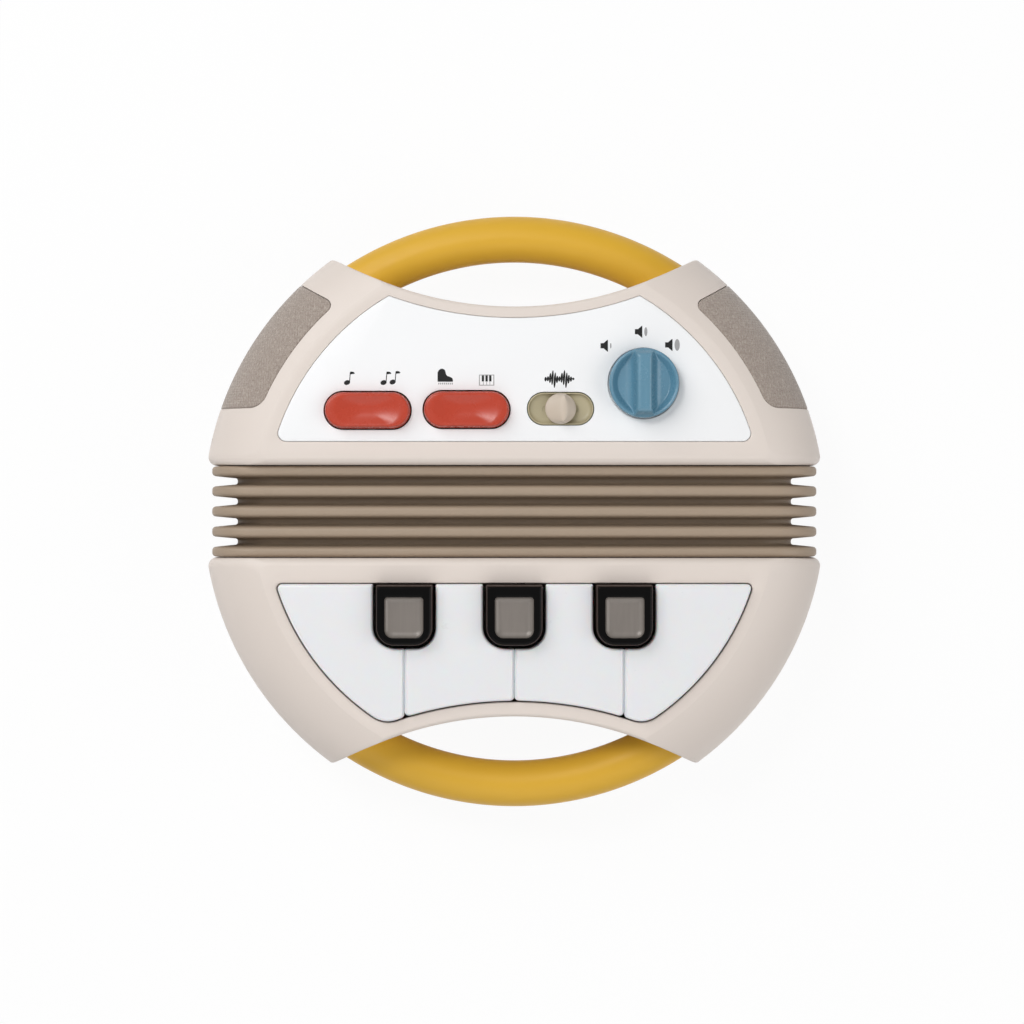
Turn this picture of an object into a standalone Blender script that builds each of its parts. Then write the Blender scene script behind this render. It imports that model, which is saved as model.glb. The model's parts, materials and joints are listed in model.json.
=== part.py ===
"""Toy accordion: two half-disc housings joined by a ribbed bellows, a tube handle at each end,
a control panel on the upper half and a seven-key keyboard on the lower half.

It lies on its back at real size, in metres. +Z comes out of the front, +Y runs from the
keyboard to the control panel, and the origin is on the ground under the middle of the bellows.
"""

import math

import bmesh
import bpy
from mathutils import Vector

MM = 0.001

# Clearances and walls
GAP = 0.3 * MM
WALL = 2.6 * MM
KEY_GAP = 0.8 * MM

# Housing, seen from the front: a disc, a straight edge at the bellows, a concave cut at the hand
DISC_RADIUS = 115.6 * MM
BASE_Y = 17.0 * MM
CUT_RADIUS = 130.0 * MM
CUT_APEX_Y = 74.7 * MM
BASE_CORNER = 3.2 * MM
TIP_CORNER = 1.6 * MM

# Housing, seen from the side
DEPTH = 62.0 * MM
CREASE_RADIUS = 95.4 * MM
SHOULDER_DROP = 23.6 * MM
CREASE_ANGLE = math.radians(65)
BACK_ROUND_WIDTH = 16.0 * MM
BACK_ROUND_HEIGHT = 18.0 * MM
BASE_EDGE = 3.0 * MM
CUT_EDGE = 1.5 * MM

# Handles: a round tube on an arc over the cut, screwed inside the housing's two far corners
HANDLE_TUBE = 8.6 * MM
HAND_GAP = 18.6 * MM
HANDLE_SCREW_INSET = 12.4 * MM
HANDLE_SCREW_MARGIN = 11.1 * MM
HANDLE_TAIL = 8.6 * MM

# Bellows
RIB_COUNT = 5
RIB_THICKNESS = 3.5 * MM
RIB_INSET = 2.2 * MM
RIB_DEPTH = 9.0 * MM
RIB_EDGE = 0.6 * MM
VALLEY_WIDTH = 2.2 * MM
BELLOWS_BACK = 3.5 * MM
BELLOWS_DROP = 4.5 * MM
BELLOWS_CORNER = 17.0 * MM
BELLOWS_SKIN = 1.4 * MM

# Control panel, seated on a ledge
PANEL_MARGIN = 4.8 * MM
PANEL_BASE_MARGIN = 8.7 * MM
PANEL_CUT_MARGIN = 4.4 * MM
PANEL_THICKNESS = 2.6 * MM
PANEL_PROUD = 0.2 * MM
PANEL_CORNER = 3.0 * MM
PANEL_TIP = 0.8 * MM
PANEL_EDGE = 0.4 * MM
LEDGE_WIDTH = 2.2 * MM
LEDGE_THICKNESS = 2.3 * MM

# Controls, by their places on the panel: x from its middle, y from its straight edge
ROCKER_SPOTS = {"left": (-53.4 * MM, 11.1 * MM), "right": (-17.4 * MM, 11.4 * MM)}
ROCKER_GAP = 0.5 * MM
ROCKER_LENGTH = 31.2 * MM
ROCKER_WIDTH = 13.3 * MM
ROCKER_RISE = 3.7 * MM
ROCKER_PIN = 1.2 * MM
ROCKER_EAR = 1.4 * MM
ROCKER_EDGE = 1.1 * MM
ROCKER_DISH = 0.9 * MM
SWITCH_LENGTH = 22.0 * MM
SWITCH_DROP = 5.0 * MM
EAR_LENGTH = 8.0 * MM
EAR_RISE = 0.6 * MM
SLIDER_SPOT = (16.8 * MM, 11.7 * MM)
SLIDER_BED_LENGTH = 24.0 * MM
SLIDER_BED_WIDTH = 11.7 * MM
SLIDER_TRAVEL = 5.5 * MM
SLIDER_CAP_RADIUS = 5.6 * MM
SLIDER_CAP_HEIGHT = 5.6 * MM
SLIDER_STEM = 1.4 * MM
SLIDER_STEM_DEPTH = 2.0 * MM
SLIDER_BED_DEPTH = 4.0 * MM
SLIDER_RECESS = 1.6 * MM
SLIDER_RIM = 0.8 * MM
SLIDE_SWITCH_WIDTH = 9.0 * MM
SLIDE_SWITCH_END = 2.0 * MM
KNOB_SPOT = (47.0 * MM, 20.9 * MM)
KNOB_RADIUS = 12.65 * MM
KNOB_HEIGHT = 9.2 * MM
KNOB_EDGE = 0.8 * MM
KNOB_SHAFT = 3.0 * MM
KNOB_BORE = 3.4 * MM
KNOB_SCOOP = [(0.17, 0.0), (0.23, 0.08), (0.25, 0.22), (0.31, 0.39), (0.41, 0.53), (0.58, 0.61),
              (0.79, 0.57), (0.95, 0.48), (1.26, 0.48)]
POT_RADIUS = 8.0 * MM
POT_DROP = 3.0 * MM

# Speaker cloth on the shoulders and the drivers under it
CLOTH_MARGIN = 4.5 * MM
CLOTH_BASE_MARGIN = 20.9 * MM
CLOTH_CUT_MARGIN = 14.4 * MM
CLOTH_LOW_MARGIN = 3.0 * MM
CLOTH_THICKNESS = 1.2 * MM
CLOTH_CORNER = 4.0 * MM
CUTTER_RISE = 2.0 * MM
SLOT_COUNT = 5
SLOT_WIDTH = 2.4 * MM
SLOT_LENGTH = 12.0 * MM
SPEAKER_INSET = 23.5 * MM
SPEAKER_BASE_MARGIN = 28.0 * MM
SPEAKER_RADIUS = 17.0 * MM
SPEAKER_TOP_DROP = 20.5 * MM
SPEAKER_DEPTH = 15.0 * MM
SPEAKER_FLANGE = 1.5 * MM
SPEAKER_POST = 2.0 * MM
MAGNET_RADIUS = 11.0 * MM
MAGNET_HEIGHT = 5.0 * MM
CONE_DEPTH = 4.0 * MM
CONE_RADIUS = 5.0 * MM

# Keyboard
OUTER_KEY_END = 7.35 * MM
KEY_MARGIN = 4.2 * MM
KEY_BASE_MARGIN = 9.1 * MM
KEY_CUT_MARGIN = 5.3 * MM
KEY_CORNER = 2.0 * MM
KEY_TIP = 10.0 * MM
KEY_LIP = 0.5 * MM
WHITE_RISE = 2.5 * MM
WHITE_THICKNESS = 4.2 * MM
WHITE_EDGE = 1.1 * MM
OUTER_CORNER = 1.6 * MM
KEY_TOP = 2.4 * MM
KEY_SKIRT = 2.0 * MM
BLACK_SHARE = 0.53
BLACK_LENGTH = 22.2 * MM
BLACK_CORNER = 7.0 * MM
BLACK_RISE = 7.0 * MM
BLACK_EDGE = 1.7 * MM
BLACK_REAR_CORNER = 0.8 * MM
DISH_SIDE = 3.5 * MM
DISH_START = 4.1 * MM
DISH_END = 19.0 * MM
DISH_DEPTH = 1.8 * MM
DISH_REAR_CORNER = 1.2 * MM
LEVER_WIDTH = 10.0 * MM
LEVER_DROP = 6.3 * MM
PIVOT_FROM_WALL = 3.6 * MM
PIVOT_RADIUS = 1.5 * MM
PIVOT_OVERHANG = 7.7 * MM
CLIP_RADIUS = 2.9 * MM
WHITE_ARM = 28.2 * MM
OUTER_ARM = 23.2 * MM
BLACK_ARM = 11.2 * MM
ARM_HALF_DEPTH = 0.6 * MM
FOOT_LENGTH = 4.0 * MM
OUTER_LEVER_SHIFT = 2.0 * MM
DOME_TRAVEL = 2.6 * MM
DOME_RADIUS = 4.6 * MM
DOME_HEIGHT = 3.6 * MM
DOME_SHEET = 1.2 * MM

# Guide rods and bushes that keep the halves in line
ROD_X = 40.0 * MM
ROD_RADIUS = 3.0 * MM
ROD_GRIP = 31.0 * MM
ROD_COLLAR = 1.4 * MM
COLLAR_LENGTH = 1.9 * MM
SADDLE_THICKNESS = 2.4 * MM
SADDLE_INSET = 4.0 * MM
BUSH_WALL = 2.0 * MM
BUSH_LENGTH = 26.0 * MM
OPEN_TRAVEL = 15.0 * MM
ROD_HEAD = 2.0 * MM

# Batteries and their box
BATTERY_COUNT = 3
BATTERY_RADIUS = 7.1 * MM
BATTERY_LENGTH = 49.2 * MM
BATTERY_PITCH = 14.8 * MM
BATTERY_ROW_MARGIN = 29.5 * MM
BATTERY_LEFT = -28.6 * MM
BATTERY_NUB = 1.2 * MM
BATTERY_NUB_RADIUS = 2.6 * MM
BATTERY_EDGE = 0.6 * MM
SPRING_LENGTH = 3.4 * MM
SPRING_TIP = 2.2 * MM
SPRING_FOOT = 4.0 * MM
CONTACT_THICKNESS = 0.5 * MM
CONTACT_HEIGHT = 10.0 * MM
BOX_WALL = 1.6 * MM
DOOR_THICKNESS = 2.3 * MM
DOOR_LIP = 2.0 * MM
DOOR_SCREW_ROOM = 9.5 * MM
DOOR_SCREW_LENGTH = 8.0 * MM
DOOR_RIM = 2.4 * MM
DOOR_CORNER = 2.0 * MM
DOOR_CHAMFER = 0.3 * MM

# Circuit boards and the parts on them
BOARD_THICKNESS = 1.6 * MM
MAIN_BOARD_REACH = 12.8 * MM
MAIN_BOARD_BASE_MARGIN = 5.0 * MM
MAIN_BOARD_CUT_MARGIN = 13.7 * MM
MAIN_BOARD_DROP = 15.8 * MM
KEY_BOARD_MARGIN = 6.0 * MM
KEY_BOARD_BASE_MARGIN = 2.0 * MM
POST_RADIUS = 2.8 * MM
POST_FROM_ROD = 20.0 * MM
CABLE_RADIUS = 1.4 * MM
CABLE_SWING = 8.0 * MM
CABLE_SAG = 2.5 * MM

# Screws
SCREW_RADIUS = 1.5 * MM
SCREW_HEAD = 2.9 * MM
SCREW_HEAD_HEIGHT = 2.0 * MM
SCREW_HEAD_Z = 16.0 * MM
SCREW_TOP_DROP = 16.0 * MM
BOSS_RADIUS = 3.9 * MM
BASE_SCREW_INSET = 15.1 * MM
BASE_SCREW_MARGIN = 11.0 * MM

# Values worked out from the ones above
SEAM_Z = DEPTH / 2
CUT_CENTRE_Y = CUT_APEX_Y + CUT_RADIUS
SHOULDER_WIDTH = (DISC_RADIUS - CREASE_RADIUS) / (1 - math.cos(CREASE_ANGLE))
SHOULDER_HEIGHT = SHOULDER_DROP / math.sin(CREASE_ANGLE)
SHOULDER_CENTRE_R = DISC_RADIUS - SHOULDER_WIDTH
SHOULDER_CENTRE_Z = DEPTH - SHOULDER_DROP
HANDLE_REACH = CUT_APEX_Y + HAND_GAP + HANDLE_TUBE
RIB_HALF_WIDTH = math.sqrt(DISC_RADIUS**2 - BASE_Y**2) - RIB_INSET
RIB_PITCH = (2 * (BASE_Y - GAP) - RIB_THICKNESS) / (RIB_COUNT - 1)
PANEL_RADIUS = CREASE_RADIUS - PANEL_MARGIN
PANEL_BASE_Y = BASE_Y + PANEL_BASE_MARGIN
ROCKER_PLACES = {side: (x, PANEL_BASE_Y + y) for side, (x, y) in ROCKER_SPOTS.items()}
SLIDER_PLACE = (SLIDER_SPOT[0], PANEL_BASE_Y + SLIDER_SPOT[1])
KNOB_PLACE = (KNOB_SPOT[0], PANEL_BASE_Y + KNOB_SPOT[1])
KEY_OPENING_RADIUS = CREASE_RADIUS - KEY_MARGIN
KEY_OPENING_BASE = BASE_Y + KEY_BASE_MARGIN
CLOTH_RADIUS = CREASE_RADIUS + CLOTH_MARGIN
CLOTH_BASE_Y = BASE_Y + CLOTH_BASE_MARGIN
BASE_SCREW_Y = BASE_Y + BASE_SCREW_MARGIN
CLOTH_LOW_Z = SEAM_Z + CLOTH_LOW_MARGIN
SPEAKER_TOP = DEPTH - SPEAKER_TOP_DROP
SCREW_TOP_Z = DEPTH - SCREW_TOP_DROP
PANEL_Z = DEPTH + PANEL_PROUD
LEDGE_Z = PANEL_Z - PANEL_THICKNESS - GAP
CEILING_Z = LEDGE_Z - LEDGE_THICKNESS
PANEL_CUT = CUT_RADIUS + PANEL_CUT_MARGIN
KEY_CUT = CUT_RADIUS + KEY_CUT_MARGIN
MAIN_BOARD_LEFT = ROCKER_SPOTS["left"][0] - MAIN_BOARD_REACH
MAIN_BOARD_RIGHT = KNOB_SPOT[0] + MAIN_BOARD_REACH
MAIN_BOARD_Z = PANEL_Z - MAIN_BOARD_DROP
MAIN_BOARD_NEAR = BASE_Y + MAIN_BOARD_BASE_MARGIN
MAIN_BOARD_FAR = CUT_APEX_Y - MAIN_BOARD_CUT_MARGIN
BOARD_TOP = MAIN_BOARD_Z + BOARD_THICKNESS
ROCKER_PIVOT_Z = PANEL_Z - PANEL_THICKNESS - ROCKER_PIN - 2 * GAP
PIVOT_Y = -(BASE_Y + WALL + PIVOT_FROM_WALL)
PIVOT_Z = CEILING_Z - GAP - CLIP_RADIUS
KEY_BOTTOM = CEILING_Z + 2 * GAP
WHITE_Z = DEPTH + WHITE_RISE
BLACK_Z = DEPTH + BLACK_RISE
KEY_END_Y = (KEY_OPENING_RADIUS**2 - KEY_CUT**2 + CUT_CENTRE_Y**2) / (2 * CUT_CENTRE_Y)
KEY_PITCH = math.sqrt(KEY_OPENING_RADIUS**2 - KEY_END_Y**2) - OUTER_KEY_END
BLACK_WIDTH = BLACK_SHARE * KEY_PITCH
DISH_WIDTH = BLACK_WIDTH - 2 * DISH_SIDE
DISH_CORNER = DISH_WIDTH / 3
OUTER_LEVER_X = 1.5 * KEY_PITCH + OUTER_LEVER_SHIFT
PIVOT_HALF_LENGTH = OUTER_LEVER_X + LEVER_WIDTH / 2 + PIVOT_OVERHANG
WHITE_FOOT = KEY_OPENING_BASE + WHITE_ARM
OUTER_FOOT = KEY_OPENING_BASE + OUTER_ARM
BLACK_FOOT = KEY_OPENING_BASE + BLACK_ARM
FOOT_Z = KEY_BOTTOM - LEVER_DROP
DOME_Z = FOOT_Z - DOME_TRAVEL
KEY_BOARD_Z = DOME_Z - DOME_HEIGHT - DOME_SHEET - GAP - BOARD_THICKNESS
ROD_UPPER_END = BASE_Y + ROD_GRIP
BATTERY_ROW_Y = BASE_Y + BATTERY_ROW_MARGIN
BUSH_START = BASE_Y + WALL + GAP
BUSH_END = BUSH_START + BUSH_LENGTH

# How finely round things are divided
DISC_STEPS = 9
CUT_STEPS = 6
CORNER_STEPS = 2
TIP_STEPS = 3
SIDES = 10
EPS = 1.0 * MM


def start_empty():
    """Remove what a new Blender scene holds."""
    for obj in list(bpy.data.objects):
        bpy.data.objects.remove(obj, do_unlink=True)


def plastic(name, color, roughness=0.45, metallic=0.0):
    """A Principled material of one colour."""
    material = bpy.data.materials.new(name)
    material.use_nodes = True
    shader = material.node_tree.nodes["Principled BSDF"]
    shader.inputs["Base Color"].default_value = (*color, 1.0)
    shader.inputs["Roughness"].default_value = roughness
    shader.inputs["Metallic"].default_value = metallic
    return material


def make_materials():
    """Every colour of the toy, in linear values."""
    return {
        "housing": plastic("housing", (0.70, 0.63, 0.58)),
        "panel": plastic("panel", (0.88, 0.89, 0.90), 0.4),
        "ivory": plastic("white_key", (0.80, 0.82, 0.84), 0.3),
        "ebony": plastic("black_key", (0.010, 0.010, 0.010), 0.12),
        "mustard": plastic("mustard", (0.68, 0.40, 0.045), 0.4),
        "rib": plastic("bellows", (0.38, 0.29, 0.21), 0.6),
        "cloth": plastic("cloth", (0.36, 0.30, 0.25), 0.9),
        "rocker": plastic("rocker", (0.50, 0.06, 0.03), 0.3),
        "olive": plastic("slider_bed", (0.45, 0.40, 0.24), 0.5),
        "beige": plastic("slider_cap", (0.58, 0.50, 0.39), 0.4),
        "blue": plastic("knob", (0.12, 0.28, 0.40), 0.35),
        "steel": plastic("steel", (0.60, 0.60, 0.60), 0.3, 1.0),
        "board": plastic("board", (0.03, 0.18, 0.07), 0.5),
        "rubber": plastic("dome_rubber", (0.30, 0.30, 0.30), 0.7),
        "dark": plastic("dark_plastic", (0.03, 0.03, 0.035), 0.5),
        "cell": plastic("battery_jacket", (0.08, 0.10, 0.30), 0.35),
    }


def arc(centre, radius, start, end, steps):
    """Points on an arc from one angle to another, both ends included."""
    turns = [start + (end - start) * i / steps for i in range(steps + 1)]
    return [(centre[0] + radius * math.cos(t), centre[1] + radius * math.sin(t)) for t in turns]


def circle(radius, centre=(0.0, 0.0), sides=SIDES):
    """A closed circle of points."""
    return arc(centre, radius, 0.0, math.tau * (sides - 1) / sides, sides - 1)


def rectangle(low, high):
    """The four corners of a rectangle, anticlockwise."""
    return [low, (high[0], low[1]), high, (low[0], high[1])]


def stadium(length, width, centre, inset=0.0, steps=7):
    """An outline with straight long sides and round ends."""
    reach = (length - width) / 2
    radius = width / 2 - inset
    right = arc((centre[0] + reach, centre[1]), radius, -math.pi / 2, math.pi / 2, steps)
    left = arc((centre[0] - reach, centre[1]), radius, math.pi / 2, 1.5 * math.pi, steps)
    return right + left


def rounded(corners, steps=3):
    """An outline whose corners (x, y, radius) are rounded where the radius is not zero."""
    points = []
    for before, here, after in zip(corners[-1:] + corners[:-1], corners, corners[1:] + corners[:1]):
        corner = Vector(here[:2])
        if here[2] == 0:
            points.append(tuple(corner))
            continue
        back = (Vector(before[:2]) - corner).normalized()
        ahead = (Vector(after[:2]) - corner).normalized()
        half = back.angle(ahead) / 2
        reach = here[2] / math.tan(half)
        centre = corner + (back + ahead).normalized() * (here[2] / math.sin(half))
        first = corner + back * reach - centre
        turn = (corner + ahead * reach - centre).angle_signed(first)
        start = math.atan2(first.y, first.x)
        points += arc(tuple(centre), here[2], start, start + turn, steps)
    return points


def inset_outline(points, distance):
    """An anticlockwise outline moved inwards."""
    moved = []
    for before, here, after in zip(points[-1:] + points[:-1], points, points[1:] + points[:1]):
        back = (Vector(here) - Vector(before)).normalized()
        ahead = (Vector(after) - Vector(here)).normalized()
        normal_back = Vector((-back.y, back.x))
        normal_ahead = Vector((-ahead.y, ahead.x))
        shift = (normal_back + normal_ahead) / (1 + normal_back.dot(normal_ahead))
        moved.append(tuple(Vector(here) + shift * distance))
    return moved


def inset_rounded(corners, distance, steps=3):
    """A rounded outline moved inwards, its corner radii shrunk by as much."""
    moved = inset_outline([corner[:2] for corner in corners], distance)
    least = 0.2 * MM
    radii = [max(corner[2] - distance, least) if corner[2] else 0 for corner in corners]
    return rounded([(*point, radius) for point, radius in zip(moved, radii)], steps)


def level(points, z):
    """A flat outline as points at one height."""
    return [(x, y, z) for x, y in points]


def across(points, x):
    """An outline in Y and Z as points at one X."""
    return [(x, y, z) for y, z in points]


def along(points, y):
    """An outline in X and Z as points at one Y."""
    return [(x, y, z) for x, z in points]


def loft(bm, rings, joined=False, strips=False):
    """Skin a row of equal rings, closed by flat caps, by strips, or by joining last to first."""
    rows = [[bm.verts.new(point) for point in ring] for ring in rings]
    pairs = list(zip(rows, rows[1:]))
    if joined:
        pairs.append((rows[-1], rows[0]))
    elif strips:
        for row in (rows[0], rows[-1]):
            for i in range(len(row) // 2 - 1):
                bm.faces.new((row[i], row[i + 1], row[-2 - i], row[-1 - i]))
    else:
        bm.faces.new(reversed(rows[0]))
        bm.faces.new(rows[-1])
    for lower, upper in pairs:
        for i, here in enumerate(lower):
            j = (i + 1) % len(lower)
            bm.faces.new((here, lower[j], upper[j], upper[i]))


def solid(name, ring_rows, material=None, joined=False, strips=False, sharp=35, origin=(0, 0, 0)):
    """An object from one or more lofts. Without a material it is a cutter or an added shape."""
    bm = bmesh.new()
    for rings in ring_rows:
        loft(bm, rings, joined, strips)
    bmesh.ops.recalc_face_normals(bm, faces=bm.faces)
    bmesh.ops.translate(bm, verts=bm.verts, vec=-Vector(origin))
    mesh = bpy.data.meshes.new(name)
    bm.to_mesh(mesh)
    bm.free()
    mesh.shade_smooth()
    mesh.set_sharp_from_angle(angle=math.radians(sharp))
    obj = bpy.data.objects.new(name, mesh)
    obj.location = origin
    bpy.context.scene.collection.objects.link(obj)
    if material:
        mesh.materials.append(material)
    else:
        obj.hide_render = True
        obj.display_type = "WIRE"
    return obj


def combine(obj, other, operation):
    """Add a Boolean of another object."""
    modifier = obj.modifiers.new(f"{operation.lower()}_{other.name}", "BOOLEAN")
    modifier.operation = operation
    modifier.object = other
    modifier.solver = "EXACT"


def turned(profile, centre, sides=SIDES):
    """Rings of a turned shape from (radius, z) pairs, round an upright axis."""
    return [level(circle(radius, centre, sides), z) for radius, z in profile]


def cylinder_rings(radius, centre, low, high, sides=SIDES):
    """The two rings of an upright cylinder."""
    return turned([(radius, low), (radius, high)], centre, sides)


def rod_rings(profile, x, sides=SIDES):
    """Rings of a turned shape from (radius, y) pairs, round an axis along Y at the seam."""
    return [along(circle(radius, (x, SEAM_Z), sides), y) for radius, y in profile]


def between_arcs(reach, cut_reach):
    """Where a circle round the disc's centre meets one round the cut's centre, at +X."""
    y = (reach**2 - cut_reach**2 + CUT_CENTRE_Y**2) / (2 * CUT_CENTRE_Y)
    return math.sqrt(reach**2 - y**2), y


def half_outline(radius, base, cut_radius, base_corner, tip_corner):
    """The plan of the upper half: straight base edge, disc arcs, concave cut, rounded corners."""
    corner_y = base + base_corner
    corner_x = math.sqrt((radius - base_corner) ** 2 - corner_y**2)
    tip_x, tip_y = between_arcs(radius - tip_corner, cut_radius + tip_corner)
    corner_turn = math.atan2(corner_y, corner_x)
    tip_turn = math.atan2(tip_y, tip_x)
    cut_turn = math.atan2(tip_y - CUT_CENTRE_Y, tip_x)
    right = arc((corner_x, corner_y), base_corner, -math.pi / 2, corner_turn, CORNER_STEPS)
    right += arc((0, 0), radius, corner_turn, tip_turn, DISC_STEPS)[1:-1]
    right += arc((tip_x, tip_y), tip_corner, tip_turn, cut_turn + math.pi, TIP_STEPS)
    right += arc((0, CUT_CENTRE_Y), cut_radius, cut_turn, -math.pi / 2, CUT_STEPS)[1:-1]
    left = [(-x, y) for x, y in reversed(right)]
    return right + [(0, CUT_CENTRE_Y - cut_radius)] + left


def half_ring(side, radius, base, cut_radius, z, base_corner=BASE_CORNER, tip_corner=TIP_CORNER):
    """A ring of the half's plan at one height. side is 1 for the upper half, -1 for the lower."""
    outline = half_outline(radius, base, cut_radius, base_corner, tip_corner)
    return [(x, y * side, z) for x, y in outline]


def edge_round(radius, below):
    """How far a rounded edge draws in at a height below its face."""
    if below >= radius:
        return 0.0
    return radius - math.sqrt(radius**2 - (radius - below) ** 2)


def shoulder(angle, inset=0.0):
    """Radius and height of the shoulder's elliptical arc, 0 at the wall and more at the crease."""
    radius = SHOULDER_CENTRE_R + (SHOULDER_WIDTH - inset) * math.cos(angle)
    return radius, SHOULDER_CENTRE_Z + (SHOULDER_HEIGHT - inset) * math.sin(angle)


def front_outside(side):
    """Rings of the front shell's outer face, from the seam to the crease."""
    rings = [half_ring(side, DISC_RADIUS, BASE_Y, CUT_RADIUS, SEAM_Z + GAP / 2)]
    for share in (0.0, 0.22, 0.43, 0.63, 0.8, 0.9, 0.965, 1.0):
        radius, z = shoulder(CREASE_ANGLE * share)
        base = BASE_Y + edge_round(BASE_EDGE, DEPTH - z)
        cut = CUT_RADIUS + edge_round(CUT_EDGE, DEPTH - z)
        rings.append(half_ring(side, radius, base, cut, z))
    return rings


def front_inside(side):
    """Rings of the front shell's inner face, from the ceiling back to the seam."""
    base = BASE_Y + WALL
    cut = CUT_RADIUS + WALL
    top = math.asin((CEILING_Z - SHOULDER_CENTRE_Z) / (SHOULDER_HEIGHT - WALL))
    rings = []
    for share in (1.0, 0.6, 0.0):
        radius, z = shoulder(top * share, WALL)
        rings.append(half_ring(side, radius, base, cut, z))
    rings.append(half_ring(side, DISC_RADIUS - WALL, base, cut, SEAM_Z + GAP / 2))
    return rings


def upper_front_rings():
    """The upper front shell: its rim steps down to the ledge under the control panel."""
    edges = (PANEL_RADIUS + GAP, PANEL_BASE_Y - GAP, PANEL_CUT - GAP)
    inner = (edges[0] - LEDGE_WIDTH, edges[1] + LEDGE_WIDTH, edges[2] + LEDGE_WIDTH)
    rings = front_outside(1)
    rings.append(half_ring(1, *edges, DEPTH, PANEL_CORNER, PANEL_TIP))
    rings.append(half_ring(1, *edges, LEDGE_Z, PANEL_CORNER, PANEL_TIP))
    rings.append(half_ring(1, *inner, LEDGE_Z, PANEL_CORNER, PANEL_TIP))
    rings.append(half_ring(1, *inner, CEILING_Z, PANEL_CORNER, PANEL_TIP))
    return rings + front_inside(1)


def lower_front_rings():
    """The lower front shell: its rim has one opening for all the keys."""
    edges = (KEY_OPENING_RADIUS, KEY_OPENING_BASE, KEY_CUT)
    wide = (edges[0] + KEY_LIP, edges[1] - KEY_LIP, edges[2] - KEY_LIP)
    rings = front_outside(-1)
    rings.append(half_ring(-1, *wide, DEPTH, KEY_CORNER, KEY_TIP))
    rings.append(half_ring(-1, *edges, DEPTH - KEY_LIP, KEY_CORNER, KEY_TIP))
    rings.append(half_ring(-1, *edges, CEILING_Z, KEY_CORNER, KEY_TIP))
    return rings + front_inside(-1)


def back_rings(side):
    """A back shell: a shallow tray with a rounded outer edge, open at the seam."""
    flat_radius = DISC_RADIUS - BACK_ROUND_WIDTH
    rings = [half_ring(side, DISC_RADIUS, BASE_Y, CUT_RADIUS, SEAM_Z - GAP / 2)]
    for turn in (0, 30, 60, 78, 90):
        swing = math.radians(turn)
        radius = flat_radius + BACK_ROUND_WIDTH * math.cos(swing)
        z = BACK_ROUND_HEIGHT * (1 - math.sin(swing))
        base = BASE_Y + edge_round(CUT_EDGE, z)
        rings.append(half_ring(side, radius, base, CUT_RADIUS + edge_round(CUT_EDGE, z), z))
    inner = []
    for turn in (0, 35, 65, 90):
        swing = math.radians(turn)
        radius = flat_radius + (BACK_ROUND_WIDTH - WALL) * math.cos(swing)
        z = BACK_ROUND_HEIGHT - (BACK_ROUND_HEIGHT - WALL) * math.sin(swing)
        inner.append(half_ring(side, radius, BASE_Y + WALL, CUT_RADIUS + WALL, z))
    rings.reverse()
    rings.append(half_ring(side, DISC_RADIUS - WALL, BASE_Y + WALL, CUT_RADIUS + WALL, SEAM_Z - GAP / 2))
    return rings + inner


def handle_screw():
    """Where a screw goes through the upper handle, at +X."""
    return between_arcs(DISC_RADIUS - HANDLE_SCREW_INSET, CUT_RADIUS + HANDLE_SCREW_MARGIN)


def handle_arc():
    """Radius, centre Y and end angle of the tube's line, which runs through both screws."""
    x, y = handle_screw()
    rise = HANDLE_REACH - y
    radius = (x**2 + rise**2) / (2 * rise)
    centre_y = HANDLE_REACH - radius
    return radius, centre_y, math.atan2(x, y - centre_y) + HANDLE_TAIL / radius


def handle_rings(side, tube):
    """The handle tube, swept along its arc."""
    steps = 22
    radius, centre_y, end = handle_arc()
    rings = []
    for i in range(steps + 1):
        turn = -end + 2 * end * i / steps
        ring = []
        for across_tube, up in circle(tube, sides=12):
            reach = radius + across_tube
            y = centre_y + reach * math.cos(turn)
            ring.append((reach * math.sin(turn), y * side, SEAM_Z + up))
        rings.append(ring)
    return rings


def screw_places(side):
    """Where a half's four screws stand: two through the handle's ends, two beside the bellows."""
    base = (math.sqrt((DISC_RADIUS - BASE_SCREW_INSET) ** 2 - BASE_SCREW_Y**2), BASE_SCREW_Y)
    return [(x * sign, y * side) for x, y in (handle_screw(), base) for sign in (-1, 1)]


def screw_bores(name, side):
    """Cutter for the counterbored screw holes of one half."""
    head = SCREW_HEAD + GAP
    shank = SCREW_RADIUS + GAP
    profile = [(head, -EPS), (head, SCREW_HEAD_Z), (shank, SCREW_HEAD_Z), (shank, SCREW_TOP_Z + EPS)]
    return solid(name, [turned(profile, place) for place in screw_places(side)])


def screw(name, place, material):
    """A pan-head screw, driven from the back."""
    low = SCREW_HEAD_Z - GAP - SCREW_HEAD_HEIGHT
    seat = SCREW_HEAD_Z - GAP
    profile = [(SCREW_HEAD, low), (SCREW_HEAD, seat), (SCREW_RADIUS, seat), (SCREW_RADIUS, SCREW_TOP_Z)]
    return solid(name, [turned(profile, place, 8)], material)


def add_screws(half, side, material):
    """The four screws of one half."""
    for number, place in enumerate(screw_places(side), start=1):
        screw(f"{half}_screw_{number}", place, material)


def front_bosses(name, side):
    """Screw bosses that hang from the front shell, down to the handle or the seam."""
    handle_top = SEAM_Z + HANDLE_TUBE + GAP
    lows = [handle_top, handle_top, SEAM_Z + GAP / 2, SEAM_Z + GAP / 2]
    rows = []
    for low, place in zip(lows, screw_places(side)):
        reach = math.hypot(*place) + BOSS_RADIUS
        turn = math.acos((reach - SHOULDER_CENTRE_R) / SHOULDER_WIDTH)
        top = min(shoulder(turn)[1] - WALL / 3, CEILING_Z + EPS)
        rows.append(cylinder_rings(BOSS_RADIUS, place, low, top))
    return solid(name, rows)


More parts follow.
